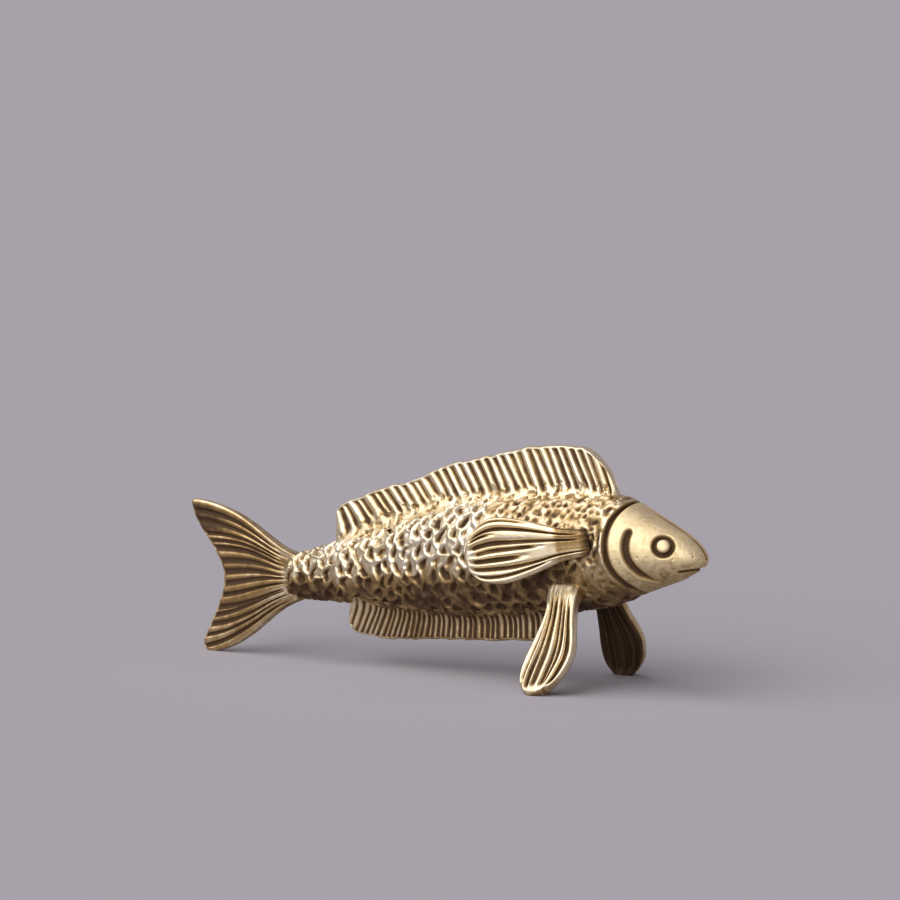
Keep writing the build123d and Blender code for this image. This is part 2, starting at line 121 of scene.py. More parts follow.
def lumps(points: Array, pitch: float, seed: int) -> Array:
    """Smooth random field between about -1 and 1.

    Args:
        points: Places in space, one row each.
        pitch: Distance between the field's random values.
        seed: Seed of those values.

    Returns:
        The field at each place.
    """
    table = np.random.default_rng(seed).uniform(-1, 1, (FIELD_SIZE,) * 3)
    cell = points / pitch + FIELD_SHIFT
    base = np.floor(cell).astype(int)
    part = smooth_step(0, 1, cell - base)
    total = np.zeros(len(points))
    for corner in np.ndindex(2, 2, 2):
        step = np.array(corner)
        share = np.prod(np.where(step == 1, part, 1 - part), axis=1)
        at = (base + step) % FIELD_SIZE
        total += share * table[at[:, 0], at[:, 1], at[:, 2]]
    return total


def waves(points: Array, pitch: float, seed: int) -> Array:
    """Smooth random field between about 0 and 1."""
    return 0.5 + 0.5 * lumps(points, pitch, seed)


def mottle(points: Array, seed: int, *layers: Pair) -> Array:
    """Sum of random fields, each given by its strength and its pitch."""
    return sum(strength * lumps(points, pitch, seed + step) for step, (strength, pitch) in enumerate(layers))


def curve_through(points: list[tuple[float, ...]]) -> Callable[[Array], Array]:
    """Smooth curve through points.

    Args:
        points: The points in order.

    Returns:
        A function from shares of the curve's length (0 to 1) to points.
    """
    knots = np.array(points, dtype=float)
    ends = np.vstack([2 * knots[0] - knots[1], knots, 2 * knots[-1] - knots[-2]])
    t = np.linspace(0, 1, CURVE_STEPS, endpoint=False)[:, None]
    fine = []
    for i in range(len(knots) - 1):
        a, b, c, d = ends[i : i + 4]
        fine.append(0.5 * (2 * b + (c - a) * t + (2 * a - 5 * b + 4 * c - d) * t**2
                           + (3 * b - a - 3 * c + d) * t**3))
    line = np.vstack(fine + [knots[-1:]])
    run = np.concatenate([[0.0], np.cumsum(np.linalg.norm(np.diff(line, axis=0), axis=1))])
    run /= run[-1]
    return lambda share: np.stack([np.interp(share, run, column) for column in line.T], axis=-1)


# Bench work


def deselect() -> None:
    """Leaves nothing selected, so that an operator reaches only what is picked after it."""
    if bpy.context.mode != "OBJECT":
        bpy.ops.object.mode_set(mode="OBJECT")
    bpy.ops.object.select_all(action="DESELECT")


def pick(obj: Piece) -> None:
    """Selects one object alone and makes it the active one.

    Args:
        obj: The object.
    """
    deselect()
    obj.select_set(True)
    bpy.context.view_layer.objects.active = obj


def take(name: str) -> Piece:
    """Names the object that an operator has just added.

    Args:
        name: Its name.

    Returns:
        The object.
    """
    obj = bpy.context.active_object
    obj.name = obj.data.name = name
    return obj


@contextmanager
def editing(obj: Piece) -> Iterator[None]:
    """Edit mode on one object, with all of its mesh selected.

    Args:
        obj: The object.
    """
    pick(obj)
    bpy.ops.object.mode_set(mode="EDIT")
    bpy.ops.mesh.select_all(action="SELECT")
    yield
    bpy.ops.object.mode_set(mode="OBJECT")


def read_points(obj: Piece, kind: str = "co") -> Array:
    """Points of a mesh.

    Args:
        obj: The piece.
        kind: Which vectors of the points are read.

    Returns:
        One row per point.
    """
    rows = np.empty(len(obj.data.vertices) * 3)
    obj.data.vertices.foreach_get(kind, rows)
    return rows.reshape(-1, 3)


def read_normals(obj: Piece) -> Array:
    """Outward directions at the points of a mesh."""
    return read_points(obj, "normal")


def write_points(obj: Piece, points: Array) -> None:
    """Moves the points of a mesh."""
    obj.data.vertices.foreach_set("co", np.ascontiguousarray(points, dtype=float).ravel())
    obj.data.update()


def mark(obj: Piece, name: str, values: Array) -> None:
    """Keeps one number per point on the mesh, under a name."""
    layer = obj.data.attributes.get(name) or obj.data.attributes.new(name, "FLOAT", "POINT")
    layer.data.foreach_set("value", np.ascontiguousarray(values, dtype=np.float32))


def marked(obj: Piece, name: str) -> Array:
    """Numbers that mark() kept.

    Args:
        obj: The piece.
        name: Name of the numbers.

    Returns:
        One number per point.
    """
    values = np.empty(len(obj.data.vertices), dtype=np.float32)
    obj.data.attributes[name].data.foreach_get("value", values)
    return values.astype(float)


def weigh(obj: Piece, name: str, weights: Array) -> None:
    """Keeps one weight per point, as a vertex group.

    Args:
        obj: The piece.
        name: Name of the group.
        weights: The weights, from 0 to 1.
    """
    group = obj.vertex_groups.new(name=name)
    for index, weight in enumerate(np.clip(weights, 0, 1).tolist()):
        if weight > 0:
            group.add([index], weight, "REPLACE")


def apply_modifier(obj: Piece, kind: str, **settings: object) -> None:
    """Adds a modifier to an object and applies it.

    Args:
        obj: The object.
        kind: Type of the modifier.
        settings: Its settings.
    """
    pick(obj)
    modifier = obj.modifiers.new(kind.lower(), kind)
    for key, value in settings.items():
        setattr(modifier, key, value)
    bpy.ops.object.modifier_apply(modifier=modifier.name)


def round_off(obj: Piece, levels: int) -> None:
    """Divides and rounds a mesh."""
    apply_modifier(obj, "SUBSURF", levels=levels, render_levels=levels)


def press(obj: Piece, name: str, height: float, weights: Array) -> None:
    """Raises a surface along its normals, or sinks it where the height is negative.

    Args:
        obj: The piece.
        name: Name of the weights.
        height: Largest move, in millimetres.
        weights: Share of that move at each point, from 0 to 1.
    """
    weigh(obj, name, weights)
    apply_modifier(obj, "DISPLACE", direction="NORMAL", mid_level=0.0, strength=height, vertex_group=name)


def spread(obj: Piece, values: Array, times: int) -> Array:
    """Blurs numbers over a mesh by averaging them along its edges.

    Args:
        obj: The piece.
        values: One number per point.
        times: How often they are averaged.

    Returns:
        The blurred numbers.
    """
    ends = np.empty(len(obj.data.edges) * 2, dtype=np.int64)
    obj.data.edges.foreach_get("vertices", ends)
    a, b = ends[0::2], ends[1::2]
    size = len(values)
    count = np.bincount(a, minlength=size) + np.bincount(b, minlength=size) + 1.0
    for _ in range(times):
        total = np.bincount(a, values[b], size) + np.bincount(b, values[a], size) + values
        values = total / count
    return values


def tube(name: str, sides: int, rings: int) -> tuple[Piece, Array, Array]:
    """Round bar along X, cut into rings.

    Args:
        name: Name of the object.
        sides: Points in each ring.
        rings: Number of rings, with those at the two ends.

    Returns:
        The bar, and for each of its points the angle round the bar and the number of its ring.
    """
    deselect()
    bpy.ops.mesh.primitive_cylinder_add(
        vertices=sides, radius=1, depth=1, end_fill_type="NGON", location=(0.5, 0, 0),
        rotation=(0, math.pi / 2, 0))
    obj = take(name)
    bpy.ops.object.transform_apply(location=True, rotation=True, scale=True)
    bpy.ops.object.mode_set(mode="EDIT")
    bpy.ops.mesh.select_mode(type="EDGE")
    bpy.ops.mesh.select_all(action="DESELECT")
    bpy.ops.object.mode_set(mode="OBJECT")
    points = read_points(obj)
    for edge in obj.data.edges:
        first, last = edge.vertices
        edge.select = bool(abs(points[first, 0] - points[last, 0]) > 0.5)
    bpy.ops.object.mode_set(mode="EDIT")
    bpy.ops.mesh.subdivide(number_cuts=rings - 2)
    bpy.ops.object.mode_set(mode="OBJECT")
    x, y, z = read_points(obj).T
    return obj, np.arctan2(z, y), np.rint(x * (rings - 1)).astype(int)


def plate(name: str, columns: int, rows: int, place: Place, thickness: Place, levels: int) -> Piece:
    """Rounded plate on a curved grid, marked with the grid's two directions.

    Args:
        name: Name of the object.
        columns: Divisions in the first direction.
        rows: Divisions in the second direction.
        place: Points of the middle surface from the two shares (0 to 1).
        thickness: Thickness of the plate from the two shares.
        levels: How often the mesh is divided.

    Returns:
        The plate, with the marks "across" and "along".
    """
    deselect()
    bpy.ops.mesh.primitive_grid_add(x_subdivisions=columns, y_subdivisions=rows, size=2)
    obj = take(name)
    shares = (read_points(obj)[:, :2] + 1) / 2
    across, along = shares[:, 0], shares[:, 1]
    mark(obj, "across", across)
    mark(obj, "along", along)
    write_points(obj, place(across, along))
    thick = thickness(across, along)
    weigh(obj, "thick", thick / thick.max())
    apply_modifier(obj, "SOLIDIFY", thickness=float(thick.max()), offset=0.0, vertex_group="thick")
    with editing(obj):
        bpy.ops.mesh.normals_make_consistent(inside=False)
    round_off(obj, levels)
    return obj


def finish_piece(obj: Piece, node: str, slot: Slot, material: bpy.types.Material) -> None:
    """Brings a piece to metres, gives it its finish and puts it in the frame.

    Args:
        obj: The piece, in millimetres.
        node: CAD node that it stands for.
        slot: The record's slot of its finish; not used.
        material: Its finish.
    """
    obj.vertex_groups.clear()
    with editing(obj):
        bpy.ops.transform.resize(value=(MM, MM, MM), center_override=(0, 0, 0))
    bpy.ops.object.shade_smooth()
    obj.data.materials.clear()
    obj.data.materials.append(material)
    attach(obj, "root")
    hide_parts(node)
    LOG.info("%s: %d faces", obj.name, len(obj.data.polygons))


# Finishes


@dataclass
class NodeDesk:
    """Short hands for wiring one node tree."""

    tree: bpy.types.NodeTree

    def feed(self, socket: Socket, value: object) -> None:
        """Wires a socket from another one, or sets it.

        Args:
            socket: The socket to feed.
            value: Another socket, a number or a colour.
        """
        if isinstance(value, Socket):
            self.tree.links.new(value, socket)
        else:
            socket.default_value = (*value, 1.0) if isinstance(value, tuple) else value

    def add(self, kind: str, inputs: dict[str | int, object], **settings: object) -> bpy.types.Node:
        """Adds a node.

        Args:
            kind: Kind of the node.
            inputs: What its inputs are fed: sockets, numbers or colours.
            settings: Its settings.

        Returns:
            The node.
        """
        node = self.tree.nodes.new(f"ShaderNode{kind}")
        for key, value in settings.items():
            setattr(node, key, value)
        for label, value in inputs.items():
            self.feed(node.inputs[label], value)
        return node

    def noise(self, vector: Socket, scale: float, detail: float, rough: float) -> Socket:
        """Noise texture on a vector."""
        inputs = {"Vector": vector, "Scale": scale, "Detail": detail, "Roughness": rough}
        return self.add("TexNoise", inputs).outputs["Fac"]

    def math(self, operation: str, *values: object) -> Socket:
        """Result of an operation on sockets and numbers."""
        return self.add("Math", dict(enumerate(values)), operation=operation).outputs[0]

    def ramp(self, value: Socket, low: float, high: float, start: float = 0.0, end: float = 1.0) -> Socket:
        """Soft ramp of a value, from start at low to end at high."""
        inputs = {"Value": value, "From Min": low, "From Max": high, "To Min": start, "To Max": end}
        return self.add("MapRange", inputs, interpolation_type="SMOOTHSTEP").outputs["Result"]

    def mix(self, share: Socket, first: object, second: object) -> Socket:
        """Mix of two colours.

        Args:
            share: Share of the second colour.
            first: Socket or colour.
            second: Socket or colour.

        Returns:
            The mixed colour.
        """
        node = self.add("Mix", {"Factor": share}, data_type="RGBA")
        colours = [socket for socket in node.inputs if socket.type == "RGBA"]
        for socket, colour in zip(colours, (first, second)):
            self.feed(socket, colour)
        return next(socket for socket in node.outputs if socket.type == "RGBA")


def node_group(
        name: str, inputs: dict[str, str], outputs: dict[str, str],
) -> tuple[NodeDesk, Sockets, Sockets]:
    """Empty shader group with named sockets.

    Args:
        name: Name of the group.
        inputs: Kinds of sockets by name.
        outputs: Kinds of sockets by name.

    Returns:
        A desk for wiring the group, the sockets that bring its inputs, and those that take its outputs.
    """
    tree = bpy.data.node_groups.new(name, "ShaderNodeTree")
    for way, sockets in (("INPUT", inputs), ("OUTPUT", outputs)):
        for label, kind in sockets.items():
            tree.interface.new_socket(name=label, in_out=way, socket_type=f"NodeSocket{kind}")
    entry, leave = tree.nodes.new("NodeGroupInput"), tree.nodes.new("NodeGroupOutput")
    return NodeDesk(tree), entry.outputs, leave.inputs


class BrassGroups:
    """Shader groups that all the brass finishes share."""

    def __init__(self) -> None:
        """Builds the groups once."""
        self.patina = self._patina_and_shade()
        self.tone = self._tone()
        self.skin = self._skin()

    @staticmethod
    def _patina_and_shade() -> bpy.types.ShaderNodeTree:
        """Masks of the warm film and the dark crust that polishing left in the hollows, which also carry the
        painted shade in the pieces' marks.

        Returns:
            The group.
        """
        desk, entry, leave = node_group(
            "patina_and_shade_mask", {"Vector": "Vector", "Hollow_and_shade": "Float"}, {"Film_and_shade": "Float", "Crust_and_shade": "Float"})
        coarse = desk.math("MULTIPLY_ADD", desk.noise(entry["Vector"], 900, 3, 0.6), 0.30, -0.15)
        fine = desk.math("MULTIPLY_ADD", desk.noise(entry["Vector"], 4200, 2, 0.5), 0.24, -0.12)
        total = desk.math("ADD", desk.math("ADD", entry["Hollow_and_shade"], coarse), fine)
        desk.feed(leave["Film_and_shade"], desk.ramp(total, -0.05, 0.55))
        desk.feed(leave["Crust_and_shade"], desk.ramp(total, 0.25, 0.92))
        return desk.tree

    @staticmethod
    def _tone() -> bpy.types.ShaderNodeTree:
        """Brass that drifts between a light and a deep tone.

        Returns:
            The group.
        """
        desk, entry, leave = node_group(
            "brass_tone", {"Vector": "Vector", "Light": "Color", "Deep": "Color"}, {"Color": "Color"})
        drift = desk.ramp(desk.noise(entry["Vector"], 260, 4, 0.6), 0.35, 0.68)
        desk.feed(leave["Color"], desk.mix(drift, entry["Light"], entry["Deep"]))
        return desk.tree

    @staticmethod
    def _skin() -> bpy.types.ShaderNodeTree:
        """Fine pits and grain of a casting, as a height and a roughness.

        Returns:
            The group.
        """
        desk, entry, leave = node_group(
            "casting_skin", {"Vector": "Vector"}, {"Height": "Float", "Roughness": "Float"})
        pits = desk.ramp(desk.noise(entry["Vector"], 5200, 2, 0.5), 0.30, 0.44)
        grain = desk.noise(entry["Vector"], 11000, 3, 0.6)
        height = desk.math("ADD", desk.math("MULTIPLY", pits, 0.6), desk.math("MULTIPLY", grain, 0.4))
        desk.feed(leave["Height"], height)
        desk.feed(leave["Roughness"], desk.ramp(desk.noise(entry["Vector"], 1400, 4, 0.6), 0.3, 0.7))
        return desk.tree


@dataclass(frozen=True)
class AntiqueBrass:
    """Brass that was darkened all over and polished again on what stands proud.

    Attributes:
        name: Name of the material.
        light: Colour of polished brass where it is palest.
        deep: Colour of polished brass where it is warmest.
        film: Colour of brass under a thin brown film.
        patina: Colour of the dark patina, which also paints the shade that the marks hold.
        polish: Roughness of the polished brass where it is smoothest.
        dull: Roughness of the patina where it is smoothest.
        drift: How far the roughness rises in places.
        gleam: Metallic share left in the patina.
        grain: Height of the casting's grain, in metres.
        bite: Strength of that grain.
    """

    name: str
    light: Triple = (0.87, 0.77, 0.56)
    deep: Triple = (0.76, 0.61, 0.37)
    film_and_shade: Triple = (0.46, 0.295, 0.115)
    patina: Triple = (0.086, 0.045, 0.019)
    polish: float = 0.30
    dull: float = 0.62
    drift: float = 0.12
    gleam: float = 0.55
    grain: float = 0.00002
    bite: float = 0.55

    def material(self, groups: BrassGroups) -> bpy.types.Material:
        """Builds the material.

        Args:
            groups: The shared shader groups.

        Returns:
            The material, which reads the mark "patina" of its piece: its patina, and the painted shade that
            some pieces carry in it.
        """
        material = bpy.data.materials.new(self.name)
        material.use_nodes = True
        desk = NodeDesk(material.node_tree)
        shader = desk.tree.nodes["Principled BSDF"].inputs
        place = desk.add("TexCoord", {}).outputs["Object"]
        # The mark patina holds real patina and, on some pieces, painted shade.
        hollow = desk.add("Attribute", {}, attribute_name="patina").outputs["Fac"]
        patina = desk.add("Group", {"Vector": place, "Hollow_and_shade": hollow}, node_tree=groups.patina).outputs
        tone = desk.add("Group", {"Vector": place, "Light": self.light, "Deep": self.deep},
                        node_tree=groups.tone).outputs
        skin = desk.add("Group", {"Vector": place}, node_tree=groups.skin).outputs
        aged = desk.mix(patina["Film_and_shade"], tone["Color"], self.film_and_shade)
        desk.feed(shader["Base Color"], desk.mix(patina["Crust_and_shade"], aged, self.patina))
        polished = desk.math("MULTIPLY_ADD", skin["Roughness"], self.drift, self.polish)
        rough = desk.math("MULTIPLY_ADD", patina["Crust_and_shade"], self.dull - self.polish, polished)
        desk.feed(shader["Roughness"], rough)
        desk.feed(shader["Metallic"], desk.ramp(patina["Crust_and_shade"], 0.0, 1.0, 1.0, self.gleam))
        bump = desk.add("Bump", {"Strength": self.bite, "Distance": self.grain, "Height": skin["Height"]})
        desk.feed(shader["Normal"], bump.outputs["Normal"])
        return material


# Body


@dataclass
class BodyForm:
    """Smooth form of trunk and head: oval sections along the fish, in millimetres."""

    tail_root_x: float = -14.8
    gill_x: float = 18.3
    snout_x: float = 26.0
    tail_root_height: float = 7.1
    gill_height: float = 11.4
    snout_height: float = 11.0
    axis_arch: float = 0.3
    tail_root_size: Pair = (4.2, 2.9)
    body_size: Pair = (10.5, 7.2)
    gill_size: Pair = (9.2, 7.0)
    fullest: float = 0.62
    gill_radius: float = 5.2
    gill_centre: Pair = (23.5, 12.3)

    def _trunk(self, share: Array, index: int) -> Array:
        """Depth or width of the trunk.

        Args:
            share: Shares of its length, from the tail.
            index: 0 for the depth, 1 for the width.

        Returns:
            The whole depth or width at each share.
        """
        root, full, gill = self.tail_root_size[index], self.body_size[index], self.gill_size[index]
        t = np.clip(share / self.fullest, 0, 1)
        swell = (2 * t * t * (3 - 2 * t) + np.sin(np.pi * t / 2)) / 3
        late = np.clip((share - self.fullest) / (1 - self.fullest), 0, 1) ** 3
        return root + (full - root) * swell + (gill - full) * late

    def section(self, x: Array) -> tuple[Array, Array, Array]:
        """Oval sections of the body.

        Args:
            x: Places along the fish.

        Returns:
            Height of the axis, half depth and half width.
        """
        x = np.asarray(x, dtype=float)
        share = np.clip((x - self.tail_root_x) / (self.gill_x - self.tail_root_x), -0.1, 1)
        front = np.clip((x - self.gill_x) / (self.snout_x - self.gill_x), 0, 1)
        rise = self.tail_root_height + (self.gill_height - self.tail_root_height) * share
        axis = np.where(x <= self.gill_x, rise + self.axis_arch * np.sin(np.pi * share),
                        self.gill_height + (self.snout_height - self.gill_height) * front**2)
        dip = 1 - 0.1 * np.sin(np.pi * front)
        depth = self._trunk(share, 0) * (1 - front) ** 0.6 * dip
        width = self._trunk(share, 1) * (1 - front) ** 0.45
        return axis, depth / 2, width / 2

    def skin(self, x: Array, angle: Array, shrink: Array | float = 1.0) -> Array:
        """Points on the body, at angles round its section from the left side over the back."""
        axis, depth, width = self.section(x)
        return np.stack([x, shrink * width * np.cos(angle), axis + shrink * depth * np.sin(angle)], axis=-1)

    def flank(self, x: float, z: float) -> Array:
        """Point on the right side of the body, from its place along the fish and its height."""
        axis, depth, width = self.section(x)
        return np.array([x, -width * np.sqrt(1 - ((z - axis) / depth) ** 2), z])

    def angles(self, points: Array) -> Array:
        """Angles of points round the body's sections."""
        axis, depth, width = self.section(np.minimum(points[:, 0], self.snout_x - 1.0))
        return np.arctan2((points[:, 2] - axis) / depth, points[:, 1] / width)

    def girth(self, x: Array, angle: Array) -> Array:
        """Distances over the skin from the middle of the flank.

        Args:
            x: Places along the fish.
            angle: Angles round the body's sections.

        Returns:
            Distances, upwards positive.
        """
        _, depth, width = self.section(x)
        folded = np.arctan2(np.sin(angle), np.abs(np.cos(angle)))
        nodes, weights = np.polynomial.legendre.leggauss(GIRTH_POINTS)
        t = folded[:, None] * (nodes + 1) / 2
        rate = np.sqrt((width[:, None] * np.sin(t)) ** 2 + (depth[:, None] * np.cos(t)) ** 2)
        return (rate * weights).sum(axis=1) * folded / 2

    def outward(self, points: Array, normals: Array) -> Array:
        """Directions to sink the skin along: its normals, or the smooth body's beside the gill seam.

        Args:
            points: Points of the skin.
            normals: Normals of the mesh there.

        Returns:
            Outward directions of length one.
        """
        x, angle = np.minimum(points[:, 0], self.snout_x - 1.0), self.angles(points)
        run = self.skin(x + SKIN_STEP, angle) - self.skin(x - SKIN_STEP, angle)
        turn = self.skin(x, angle + SKIN_STEP) - self.skin(x, angle - SKIN_STEP)
        near = smooth_step(0.9, 0.5, np.abs(self.gill_distance(points)))[:, None]
        return unit(near * unit(np.cross(turn, run)) + (1 - near) * normals)

    def gill_distance(self, points: Array) -> Array:
        """Distance behind the seam of the gill covers, negative on the head's side."""
        dx, dz = points[..., 0] - self.gill_centre[0], points[..., 2] - self.gill_centre[1]
        return np.hypot(dx, dz) - self.gill_radius

    def gill_turn(self, points: Array) -> Array:
        """Angle round the gill cover in degrees: 0 at its back, positive upwards."""
        return np.degrees(np.arctan2(points[:, 2] - self.gill_centre[1], self.gill_centre[0] - points[:, 0]))

    def gill_edge(self, angle: Array) -> Array:
        """Course of the seam behind the gill covers.

        Args:
            angle: Angles round the body's sections.

        Returns:
            Places along the fish where the seam crosses them.
        """
        steps = np.linspace(self.gill_x, self.gill_centre[0], SEAM_STEPS)
        points = self.skin(steps[None, :] + 0 * angle[:, None], angle[:, None] + 0 * steps[None, :])
        inside = self.gill_distance(points) <= 0
        inside[:, -1] = True
        return steps[inside.argmax(axis=1)]

    def gill_groove(self, points: Array) -> Array:
        """Groove along the gill covers' seam, which thins towards its upper end.

        Args:
            points: Points of the skin.

        Returns:
            Depth share of the groove at each point.
        """
        turn = self.gill_turn(points)
        ends = (1 - smooth_step(37, 46, turn)) * smooth_step(-64, -46, turn)
        width = 0.10 + 0.17 * ends * (1 - 0.6 * smooth_step(8, 42, turn))
        return hump(self.gill_distance(points), width) * (0.06 + 0.94 * ends)


@dataclass
class Casting(ABC):
    """One of the two castings that make up the body.

    Attributes:
        form: Smooth form of the body.
        sides: Points in each ring of the first mesh.
        levels: How often that mesh is divided.
        depth: Depth of the deepest relief.
        swell: Share that the first mesh stands off the skin, which rounding off takes back.
    """

    form: BodyForm
    sides: int = 32
    levels: int = 3
    depth: float = 0.5
    swell: float = 0.004

    @abstractmethod
    def relief(self, points: Array) -> tuple[Array, Array]:
        """Shares of the depth that points are sunk by, and the least patina that they get."""

    @abstractmethod
    def hollows(self, obj: Piece, carve: Array, normals: Array) -> Array:
        """Patina that polishing left, and darkening where the skin faces down (on the trunk partly painted
        shade), from the shares of the depth and the normals of the smooth skin.
        """

    def cast(self, obj: Piece, x: Array, angle: Array, inward: Array) -> Piece:
        """Brings a bar to the body's form, rounds it off and sinks the relief into its skin.

        Args:
            obj: The bar.
            x: Places of its points along the fish.
            angle: Angles of its points round the body.
            inward: Number of each point's ring, from the end that meets the other casting.

        Returns:
            The casting, marked with its patina and its darkening on downward faces (on the trunk partly
            painted shade).
        """
        shrink = np.interp(inward, (0, 1, 2), (0.5, 0.9, 1.0)) + self.swell
        write_points(obj, self.form.skin(x, angle, shrink))
        round_off(obj, self.levels)
        points, normals = read_points(obj), read_normals(obj)
        carve, stain = self.relief(points)
        write_points(obj, points - (self.depth * carve)[:, None] * self.form.outward(points, normals))
        dark = self.hollows(obj, carve, normals)
        # The mark patina also carries the darkening on downward faces, which on the trunk is partly painted
        # shade.
        mark(obj, "patina", np.clip(np.maximum(dark, stain), *PATINA_AND_SHADE_RANGE))
        return obj


@dataclass(frozen=True)
class ToolMarks:
    """Staggered, uneven rows of hand-cut marks on a flank.

    Attributes:
        start: Place of the first marks along the fish.
        pitch: Distance between the marks of a row.
        row_pitch: Distance between the rows, over the skin.
        rows: The rows, counted upwards from the middle of the flank.
        columns: Marks in a row.
        stray: How far the marks stray along a row, and across it.
        reach: How far along a row, and across it, a mark is felt.
    """

    start: float
    pitch: float
    row_pitch: float
    rows: range
    columns: int
    stray: Pair
    reach: Pair

    def middles(self, rng: np.random.Generator) -> Iterator[Pair]:
        """Goes through the marks.

        Args:
            rng: Source of their unevenness.

        Yields:
            The middle of each mark in turn, along the fish and over the skin.
        """
        for row in self.rows:
            for column in range(self.columns):
                along = self.start + (column + 0.5 * (row % 2)) * self.pitch + rng.normal(0, self.stray[0])
                yield along, row * self.row_pitch + rng.normal(0, self.stray[1])

    def around(self, x: Array, s: Array, middle: Pair, tilt: float) -> tuple[Array, Array, Array]:
        """Points round one mark.

        Args:
            x: Places of all points along the fish, in rising order.
            s: Their distances over the skin.
            middle: Middle of the mark.
            tilt: Angle that it is turned by.

        Returns:
            Numbers of the points within its reach, and how far they lie behind and above its middle.
        """
        low, high = np.searchsorted(x, (middle[0] - self.reach[0], middle[0] + self.reach[0]))
        near = low + np.where(np.abs(s[low:high] - middle[1]) < self.reach[1])[0]
        u, v = middle[0] - x[near], s[near] - middle[1]
        return near, u * math.cos(tilt) + v * math.sin(tilt), v * math.cos(tilt) - u * math.sin(tilt)


